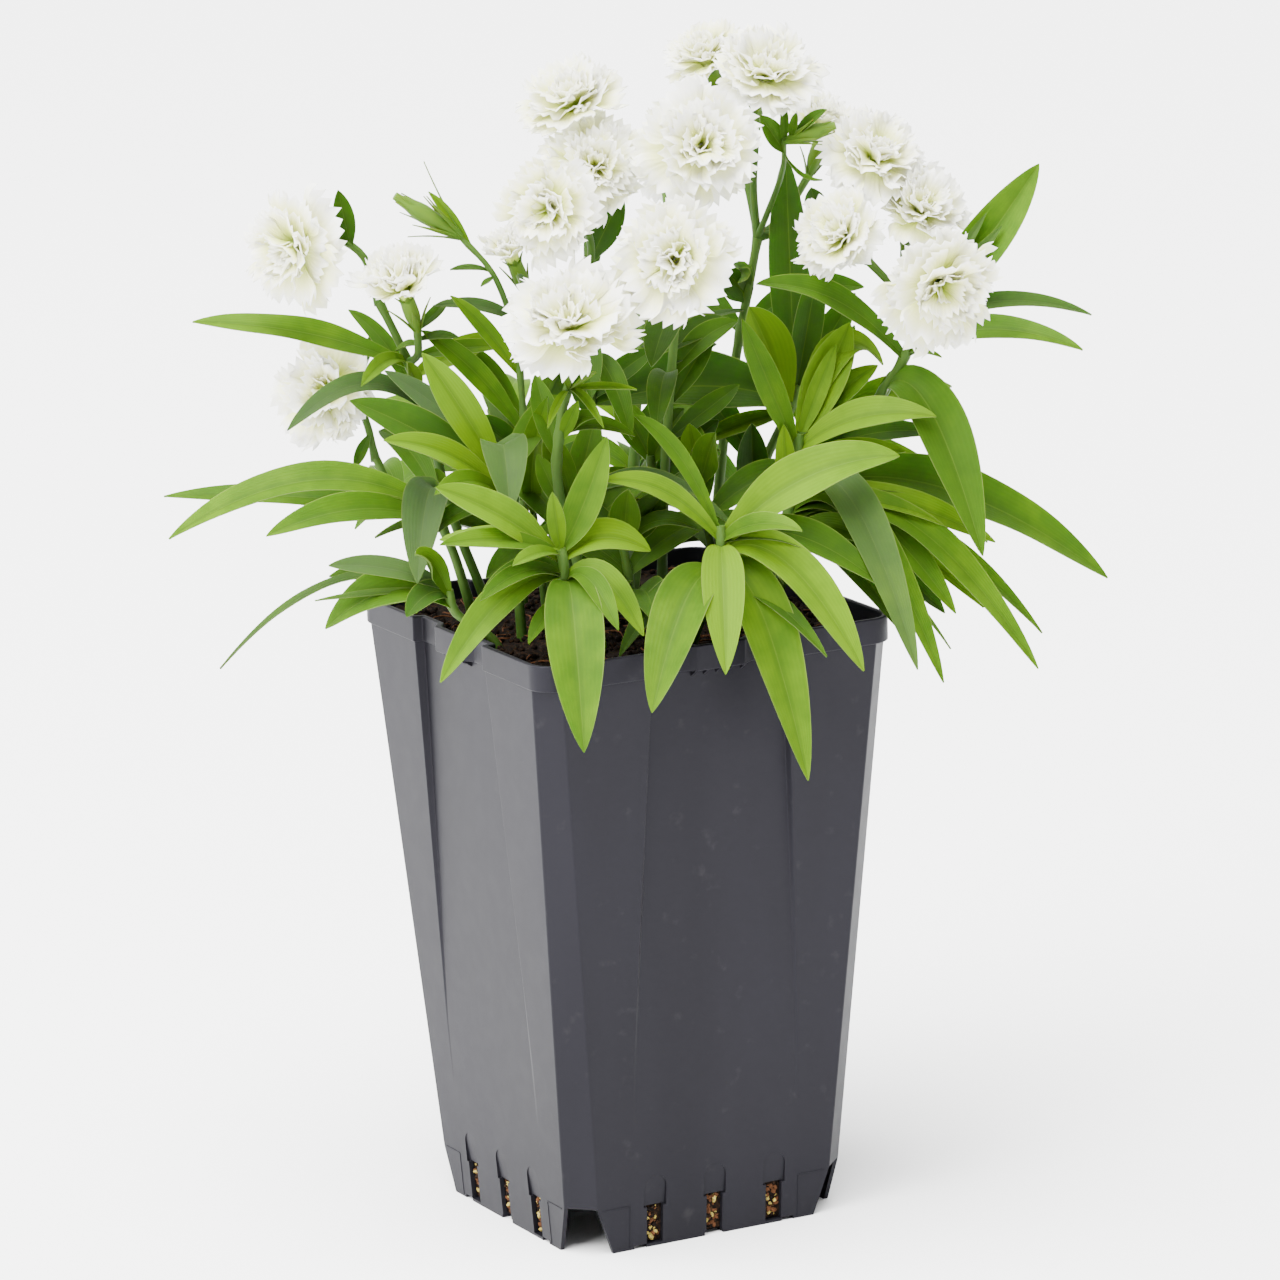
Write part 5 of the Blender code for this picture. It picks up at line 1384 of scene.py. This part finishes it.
def plastic_material(look):
    """Dark grey moulded plastic: satin, with faint flow marks, dust and a fine grain."""
    made, tree, shader = make_nodes("pot_plastic")
    flow = grain(tree, 22.0, stretch=(1, 1, 0.25))
    dust = grain(tree, 160.0, detail=6.0)
    fine = grain(tree, 2600.0)
    colour = mixed(tree, window(tree, flow, 0.3, 0.7), look.plastic_dark, look.plastic_light)
    dusty = maths(tree, "MULTIPLY", window(tree, dust, 0.6, 0.85), 0.03)
    colour = mixed(tree, dusty, colour, (0.3, 0.29, 0.28))
    link(tree, colour, shader.inputs["Base Color"])
    rough = maths(tree, "MULTIPLY_ADD", flow, 0.14, look.plastic_roughness)
    link(tree, maths(tree, "MULTIPLY_ADD", dust, 0.1, rough), shader.inputs["Roughness"])
    shader.inputs["Specular IOR Level"].default_value = 0.11
    shader.inputs["Specular Tint"].default_value = (0.9, 0.88, 1.0, 1.0)
    height = maths(tree, "MULTIPLY_ADD", flow, 3.0, fine)
    bumped(tree, shader, height, 0.00004, 0.5)
    return made


def soil_material(name, dark, light):
    """Potting soil: near black with brown flecks and a rough, crumbly surface."""
    made, tree, shader = make_nodes(name)
    flecks = grain(tree, 900.0, detail=5.0)
    lumps = grain(tree, 260.0, detail=4.0)
    colour = mixed(tree, window(tree, flecks, 0.45, 0.75), dark, light)
    colour = mixed(tree, maths(tree, "MULTIPLY", window(tree, lumps, 0.35, 0.6), 0.5), colour, dark)
    link(tree, colour, shader.inputs["Base Color"])
    link(tree, maths(tree, "MULTIPLY_ADD", flecks, 0.2, 0.78), shader.inputs["Roughness"])
    shader.inputs["Specular IOR Level"].default_value = 0.06
    bumped(tree, shader, maths(tree, "ADD", flecks, lumps), 0.0006, 0.9)
    return made


def plain_material(name, colour, roughness):
    """Material of one colour with a little mottling and grain."""
    made, tree, shader = make_nodes(name)
    blotch = grain(tree, 400.0)
    darker = tuple(0.6 * c for c in colour)
    mottled = mixed(tree, window(tree, blotch, 0.35, 0.7), darker, colour)
    link(tree, mottled, shader.inputs["Base Color"])
    shader.inputs["Roughness"].default_value = roughness
    shader.inputs["Specular IOR Level"].default_value = 0.1
    bumped(tree, shader, blotch, 0.0002, 0.6)
    return made


class DianthusPlantSettings(bpy.types.PropertyGroup):
    """Sizes and colours of the leaves, stems and blooms, in millimetres."""

    leaf_thickness: FloatProperty(name="Leaf thickness", description="Thickness of a leaf beside its midrib",
                                  default=0.5)
    channel: FloatProperty(name="Leaf channel", description="Rise of a leaf's margins per half width",
                           default=0.36)
    leaf_stations: IntProperty(name="Leaf stations", description="Rows of faces along a leaf", default=26)
    leaf_columns: IntProperty(name="Leaf columns", description="Columns of faces across a leaf", default=10)
    calyx_length: FloatProperty(name="Calyx length", description="Length of the sleeve under a bloom",
                                default=13.0)
    heart_height: FloatProperty(name="Heart height", description="Height of the core in a bloom",
                                default=5.0)
    petal_rows: IntProperty(name="Petal rows", description="Rows of faces along a petal", default=9)
    petal_teeth: IntProperty(name="Petal teeth", description="Teeth along a petal's edge", default=9)
    tooth_depth: FloatProperty(name="Tooth depth", description="Depth of a tooth per petal length",
                               default=0.14)
    ruffle: FloatProperty(name="Ruffle", description="Height of a petal's waves per petal length",
                          default=0.07)
    petal_thickness: FloatProperty(name="Petal thickness", description="Thickness of a petal", default=0.25)
    leaf_dark: FloatVectorProperty(name="Dark leaf", description="Colour of the darkest leaves",
                                   subtype="COLOR", default=(0.014, 0.034, 0.005))
    leaf_deep: FloatVectorProperty(name="Deep leaf", description="Colour of the deep green leaves",
                                   subtype="COLOR", default=(0.023, 0.056, 0.004))
    leaf_middle: FloatVectorProperty(name="Middle leaf", description="Colour of most leaves",
                                     subtype="COLOR", default=(0.036, 0.085, 0.002))
    leaf_bright: FloatVectorProperty(name="Bright leaf", description="Colour of young leaves",
                                     subtype="COLOR", default=(0.085, 0.165, 0.001))
    leaf_margin: FloatVectorProperty(name="Leaf margin", description="Colour of a leaf's edge",
                                     subtype="COLOR", default=(0.14, 0.18, 0.04))
    petal_white: FloatVectorProperty(name="Petal", description="Colour of a petal's outer part",
                                     subtype="COLOR", default=(0.95, 0.948, 0.87))
    # Petal middle and claw colours: partly the petal's own colour, deepened as painted shade inside the
    # bloom
    petal_cream: FloatVectorProperty(name="Petal middle", description="Colour of a petal's middle",
                                     subtype="COLOR", default=(0.87, 0.885, 0.42))
    petal_claw: FloatVectorProperty(name="Petal claw", description="Colour of a petal's narrow end",
                                    subtype="COLOR", default=(0.6, 0.71, 0.09))


class DianthusPotSettings(bpy.types.PropertyGroup):
    """Sizes and colours of the pot and its soil, in millimetres."""

    edge: FloatProperty(name="Edge radius", description="Radius of the pot's moulded edges", default=0.5)
    gusset_pitch: FloatProperty(name="Gusset pitch", description="Spacing of the ribs under the rim",
                                default=4.6)
    gusset_drop: FloatProperty(name="Gusset drop", description="Height of a rib under the rim", default=2.6)
    crumb: FloatProperty(name="Crumb size", description="Size of the largest soil crumbs", default=2.4)
    plastic_dark: FloatVectorProperty(name="Plastic dark", description="Darkest tone of the plastic",
                                      subtype="COLOR", default=(0.0056, 0.0054, 0.0070))
    plastic_light: FloatVectorProperty(name="Plastic light", description="Lightest tone of the plastic",
                                       subtype="COLOR", default=(0.0084, 0.0081, 0.0105))
    plastic_roughness: FloatProperty(name="Plastic roughness", description="Least roughness of the plastic",
                                     default=0.34)


class DianthusStageSettings(bpy.types.PropertyGroup):
    """Camera and lights, in metres, degrees and watts."""

    azimuth: FloatProperty(name="Azimuth", description="Turn of the camera round the pot, in degrees",
                           default=-28.12)
    elevation: FloatProperty(name="Elevation", description="Height angle of the camera, in degrees",
                             default=13.25)
    distance: FloatProperty(name="Distance", description="Camera to target", default=2.36365, unit="LENGTH")
    lens: FloatProperty(name="Lens", description="Focal length in millimetres on a 36 mm frame",
                        default=199.95)
    tilt: FloatProperty(name="Roll", description="Roll of the camera, in degrees", default=-1.59)
    key: FloatProperty(name="Key light", description="Power of the large light at the left", default=78.0)
    back: FloatProperty(name="Back light", description="Power of the light behind at the left", default=80.0)
    overhead: FloatProperty(name="Overhead light", description="Strength of the soft light above",
                            default=14.5)
    softness: FloatProperty(name="Softness", description="Width of the overhead light, in degrees",
                            default=55.0)
    surround: FloatProperty(name="Surround", description="Strength of the light from behind", default=1.8)
    front_share: FloatProperty(name="Front share", description="Strength in front as a share of behind",
                               default=0.42)


class DIANTHUS_OT_stage(bpy.types.Operator):
    """Set the floor, the soft studio lights and the camera"""

    bl_idname = "dianthus.stage"
    bl_label = "Stage"

    def execute(self, context):
        look = context.scene.dianthus_stage
        self.floor(context)
        self.lights(context, look)
        self.camera(context, look)
        return {"FINISHED"}

    def floor(self, context):
        """Large pale floor."""
        mesh = bpy.data.meshes.new("floor")
        corners = [(x * FLOOR_REACH, y * FLOOR_REACH, 0) for x, y in SQUARE]
        mesh.from_pydata(corners, [], [(0, 1, 2, 3)])
        made, tree, shader = make_nodes("pale_floor")
        shader.inputs["Base Color"].default_value = (0.9, 0.9, 0.9, 1.0)
        shader.inputs["Roughness"].default_value = 0.8
        shader.inputs["Specular IOR Level"].default_value = 0.1
        mesh.materials.append(made)
        floor = bpy.data.objects.new("floor", mesh)
        context.scene.collection.objects.link(floor)

    def lights(self, context, look):
        """Even light from all round, with large soft lights at the left, behind and above."""
        world = bpy.data.worlds.new("studio")
        world.use_nodes = True
        tree = world.node_tree
        sky = tree.nodes["Background"]
        sky.inputs["Color"].default_value = (1.0, 1.0, 1.0, 1.0)
        place = tree.nodes.new("ShaderNodeTexCoord")
        away = tree.nodes.new("ShaderNodeVectorMath")
        away.operation = "DOT_PRODUCT"
        away.inputs[1].default_value = at(0, 1, 0)
        tree.links.new(place.outputs["Generated"], away.inputs[0])
        share = window(tree, away.outputs["Value"], *SURROUND_FADE)
        strength = maths(tree, "MULTIPLY_ADD", share, look.surround * (1 - look.front_share),
                         look.surround * look.front_share)
        tree.links.new(strength, sky.inputs["Strength"])
        context.scene.world = world
        for (name, place, size), power in zip(SOFT_LIGHTS, (look.key, look.back)):
            data = bpy.data.lights.new(name, "AREA")
            data.energy = power
            data.size = size
            self.hang(context, data, place, Vector(LIGHT_TARGET))
        sun = bpy.data.lights.new("overhead", "SUN")
        sun.energy = look.overhead
        sun.angle = radians(look.softness)
        self.hang(context, sun, SUN_PLACE, Vector((0, 0, 0)))

    def hang(self, context, data, place, target):
        """Hang one light at a place so that it shines on a target."""
        lamp = bpy.data.objects.new(data.name, data)
        lamp.location = place
        lamp.rotation_euler = (target - Vector(place)).to_track_quat("-Z", "Y").to_euler()
        context.scene.collection.objects.link(lamp)

    def camera(self, context, look):
        """Camera at the photograph's angle, which looks at the fitted target."""
        azimuth = radians(look.azimuth)
        elevation = radians(look.elevation)
        back = Vector((sin(azimuth) * cos(elevation), -cos(azimuth) * cos(elevation), sin(elevation)))
        data = bpy.data.cameras.new("camera")
        data.lens = look.lens
        data.sensor_width = 36.0
        data.clip_end = 60.0
        camera = bpy.data.objects.new("camera", data)
        target = Vector(CAMERA_TARGET) * MM
        spin = back.to_track_quat("Z", "Y").to_matrix() @ Matrix.Rotation(radians(look.tilt), 3, "Z")
        camera.matrix_world = Matrix.Translation(target + back * look.distance) @ spin.to_4x4()
        context.scene.collection.objects.link(camera)
        context.scene.camera = camera


class DIANTHUS_OT_pot(bpy.types.Operator):
    """Model the pot with rounded edges, ribs under its rim and outlined feet"""

    bl_idname = "dianthus.pot"
    bl_label = "Pot"

    def execute(self, context):
        look = context.scene.dianthus_pot
        shell = Shell()
        rings = pot_rings(look.edge)
        first = shell.grid(rings, [[(0, 0, 0, 0)] * len(ring) for ring in rings], 0, closed=True)
        width = len(rings[0])
        shell.face(reversed(range(first, first + width)), 0)
        shell.face(range(first + width * (len(rings) - 1), first + width * len(rings)), 0)
        body = shell.make("pot_body", (plastic_material(look),))
        cutters = [underside_solid()]
        for turn in range(4):
            solids = (corner_hollow(), corner_notch(), *side_cutters())
            cutters += [turned(solid, turn) for solid in solids]
        combine(body, cutters, "DIFFERENCE")
        low = [(x * CENTRE_FOOT_HALF, y * CENTRE_FOOT_HALF) for x, y in SQUARE]
        foot = loft([[Vector((x, y, z)) for x, y in low] for z in (0.0, FLOOR_UNDER_Z + 0.5)])
        combine(body, [foot], "UNION")
        self.add_trim(body, look)
        body.data.shade_smooth()
        body.data.set_sharp_from_angle(angle=radians(SHARP_CORNER))
        flat = body.modifiers.new("flat_faces", "WEIGHTED_NORMAL")
        flat.keep_sharp = True
        flat.weight = FLAT_WEIGHT
        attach(body, "root")
        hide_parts("pot")
        return {"FINISHED"}

    def add_trim(self, body, look):
        """Join the small moulded ribs and outlines to the pot."""
        work = bmesh.new()
        work.from_mesh(body.data)
        for turn in range(4):
            for solid in (*rim_ribs(look), *foot_outlines()):
                points, faces = turned(solid, turn)
                made = [work.verts.new(p * MM) for p in points]
                for face in faces:
                    work.faces.new([made[k] for k in face])
        bmesh.ops.recalc_face_normals(work, faces=work.faces)
        work.to_mesh(body.data)
        work.free()


class DIANTHUS_OT_shoots(bpy.types.Operator):
    """Model every leafy shoot and flower stem"""

    bl_idname = "dianthus.shoots"
    bl_label = "Shoots"

    def execute(self, context):
        look = context.scene.dianthus_plant
        greens = (leaf_material(look),
                  green_material("stem_green", (0.022, 0.055, 0.006), (0.05, 0.10, 0.014), 4),
                  green_material("calyx_green", (0.035, 0.085, 0.006), (0.085, 0.155, 0.012), 5))
        for number, (name, shoot) in enumerate(SHOOTS.items()):
            rng = Random(100 + number)
            shell = Shell()
            joints = [at(*leaf.base) for leaf in shoot.leaves]
            joints += [at(*start) for start, bloom in shoot.blooms]
            for stem in shoot.stems:
                add_stem(shell, stem, joints)
            for leaf in shoot.leaves + EXTRA_LEAVES.get(name, ()):
                add_leaf(shell, leaf, look, rng)
            for bud in shoot.buds:
                add_bud(shell, bud, rng)
            for start, bloom in shoot.blooms:
                add_stalk(shell, start, BLOOMS[bloom], look)
                add_calyx(shell, BLOOMS[bloom], look, rng)
            piece = shell.make(name + "_growth", greens)
            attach(piece, "root")
            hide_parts(name)
        return {"FINISHED"}


class DIANTHUS_OT_blooms(bpy.types.Operator):
    """Model every double bloom, petal by petal"""

    bl_idname = "dianthus.blooms"
    bl_label = "Blooms"

    def execute(self, context):
        look = context.scene.dianthus_plant
        petal = petal_material(look)
        for number, (name, bloom) in enumerate(BLOOMS.items()):
            rng = Random(500 + number)
            shell = Shell()
            self.bloom(shell, bloom, look, rng)
            piece = shell.make(name + "_petals", (petal,), angle=80)
            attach(piece, "root")
            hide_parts(name)
        return {"FINISHED"}

    def bloom(self, shell, bloom, look, rng):
        """One bloom: rings of petals that grow steeper and smaller towards the middle."""
        facing = at(*bloom.facing).normalized()
        axes = cross_axes(facing)
        heart = at(*bloom.heart)
        for whorl in WHORLS:
            for k in range(whorl.count):
                turn = 2 * pi * (k + whorl.start) / whorl.count + rng.uniform(-0.24, 0.24)
                out = outward(axes, turn)
                start = heart + facing * (whorl.height - HEART_SINK) + out * HEART_RADIUS
                length = bloom.radius * whorl.reach * rng.uniform(0.82, 1.12)
                add_petal(shell, start, out, facing, whorl, length, look, rng, bloom.cup)
        shell.tube([heart - facing * 2.4, heart, heart + facing * 2.0], [2.2, 2.4, 1.2], 10, 0, shade=0.0)
        add_styles(shell, heart, facing, bloom.radius, rng)


class DIANTHUS_OT_soil(bpy.types.Operator):
    """Cover the soil with crumbs and fibres, and fill the slots with grains"""

    bl_idname = "dianthus.soil"
    bl_label = "Soil"

    def execute(self, context):
        look = context.scene.dianthus_pot
        soil = soil_material("potting_soil", (0.006, 0.0042, 0.0032), (0.045, 0.022, 0.010))
        node = frame["nodes"]["soil"]
        for slot in node.material_slots:
            slot.material = soil
        crumbs = self.crumbs(look, soil)
        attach(crumbs, "root")
        return {"FINISHED"}

    def crumbs(self, look, soil):
        """Everything that lies on the soil and in the slots, as one mesh."""
        rng = Random(7)
        shell = Shell()
        self.surface(shell)
        self.loose_crumbs(shell, look, rng)
        self.fibres(shell, rng)
        self.slot_grains(shell, rng)
        fibre = plain_material("soil_fibre", (0.10, 0.04, 0.016), 0.8)
        pale = plain_material("pale_grain", (0.36, 0.28, 0.07), 0.7)
        return shell.make("soil_crumbs", (soil, fibre, pale))

    def surface(self, shell):
        """Uneven top of the soil, drawn in at its corners."""
        rows = []
        for i in range(SOIL_ROWS + 1):
            row = []
            for j in range(SOIL_ROWS + 1):
                x = SOIL_HALF * (2 * j / SOIL_ROWS - 1)
                y = SOIL_HALF * (2 * i / SOIL_ROWS - 1)
                corner = max(abs(x) + abs(y) - SOIL_CORNER * SOIL_HALF, 0.0)
                x -= corner * (1 if x > 0 else -1) * 0.5
                y -= corner * (1 if y > 0 else -1) * 0.5
                lift = noise.fractal(Vector((x, y, 0)) * SOIL_NOISE, 0.8, 2.1, 5) * SOIL_SWELL
                row.append(Vector((x, y, SOIL_TOP_Z + SOIL_LIFT + lift)))
            rows.append(row)
        shell.grid(rows, [[(0.5, 0.5, 0.5, 0.0)] * len(row) for row in rows], 0)

    def loose_place(self, rng, lift):
        """A random place over the soil."""
        x = rng.uniform(-LOOSE_REACH, LOOSE_REACH)
        y = rng.uniform(-LOOSE_REACH, LOOSE_REACH)
        return Vector((x, y, SOIL_TOP_Z + lift))

    def loose_crumbs(self, shell, look, rng):
        """Small blunt lumps of soil."""
        for k in range(CRUMBS):
            place = self.loose_place(rng, CRUMB_LIFT)
            if abs(place.x) + abs(place.y) > CRUMB_CORNER * LOOSE_REACH:
                continue
            size = look.crumb * rng.uniform(0.25, 0.6)
            axis = Vector((rng.uniform(-1, 1), rng.uniform(-1, 1), rng.uniform(-0.5, 0.5))).normalized()
            path = [place + axis * size * s for s in (-0.9, -0.4, 0.4, 0.9)]
            shell.tube(path, [size * 0.4, size * 0.9, size * 0.8, size * 0.35], 6, 0)

    def fibres(self, shell, rng):
        """Thin bent fibres that lie on the soil inside the rim."""
        for k in range(FIBRES):
            place = self.loose_place(rng, FIBRE_LIFT)
            turn = rng.uniform(0, 2 * pi)
            bend = rng.uniform(-1.5, 1.5)
            length = rng.uniform(4, 12)
            path = []
            for s in (0, 0.25, 0.5, 0.75, 1.0):
                way = Vector((cos(turn + bend * s), sin(turn + bend * s), 0.15 * sin(pi * s)))
                path.append(place + way * length * s)
            if all(self.inside_rim(p) for p in path):
                shell.tube(path, [0.22, 0.3, 0.28, 0.25, 0.15], 6, 1)

    def inside_rim(self, place):
        """Whether a place is clear of the rim's sides and corners."""
        x, y = abs(place.x), abs(place.y)
        return max(x, y) <= LOOSE_REACH and x + y <= FIBRE_CORNER * LOOSE_REACH

    def slot_grains(self, shell, rng):
        """Brown and pale grains that show in the slots."""
        for turn in range(4):
            spin = Matrix.Rotation(turn * pi / 2, 3, "Z")
            for middle in (-SLOT_PITCH, 0, SLOT_PITCH):
                for k in range(SLOT_GRAINS):
                    z = rng.uniform(SLOT_FOOT_Z + 1.0, SLOT_TOP_Z - 0.6)
                    size = rng.uniform(0.5, 1.3)
                    depth = rng.uniform(WALL + 0.3, WALL + 0.9)
                    across = rng.uniform(-0.5, 0.5) * (SLOT_WIDTH - 2 * size)
                    place = spin @ Vector((middle + across, depth - wall_half(z), z))
                    axis = Vector((rng.uniform(-1, 1), rng.uniform(-1, 1), rng.uniform(-1, 1))).normalized()
                    path = [place + axis * size * s for s in (-1.1, -0.5, 0.4, 1.1)]
                    radii = [size * 0.2, size * 0.7, size * 0.6, size * 0.15]
                    shell.tube(path, radii, 5, rng.choice((0, 1, 1, 2)))


class DIANTHUS_PT_panel(bpy.types.Panel):
    """Sidebar panel with the steps and the settings"""

    bl_idname = "DIANTHUS_PT_panel"
    bl_label = "Potted Dianthus"
    bl_space_type = "VIEW_3D"
    bl_region_type = "UI"
    bl_category = "Dianthus"

    def draw(self, context):
        layout = self.layout
        for operator in OPERATORS:
            layout.operator(operator.bl_idname)
        for group, kind in SETTINGS.items():
            box = layout.box()
            for name in kind.__annotations__:
                box.prop(getattr(context.scene, group), name)


OPERATORS = (DIANTHUS_OT_stage, DIANTHUS_OT_pot, DIANTHUS_OT_soil, DIANTHUS_OT_shoots, DIANTHUS_OT_blooms)
SETTINGS = {"dianthus_plant": DianthusPlantSettings, "dianthus_pot": DianthusPotSettings,
            "dianthus_stage": DianthusStageSettings}


def register():
    """Register the settings, the operators and the panel."""
    for kind in (*SETTINGS.values(), *OPERATORS, DIANTHUS_PT_panel):
        bpy.utils.register_class(kind)
    for group, kind in SETTINGS.items():
        setattr(bpy.types.Scene, group, PointerProperty(type=kind))


def unregister():
    """Remove what register added."""
    for group in SETTINGS:
        delattr(bpy.types.Scene, group)
    for kind in reversed((*SETTINGS.values(), *OPERATORS, DIANTHUS_PT_panel)):
        bpy.utils.unregister_class(kind)


def main():
    """Build the whole scene."""
    register()
    bpy.ops.dianthus.stage()
    bpy.ops.dianthus.pot()
    bpy.ops.dianthus.soil()
    bpy.ops.dianthus.shoots()
    bpy.ops.dianthus.blooms()


if __name__ == "__main__":
    main()
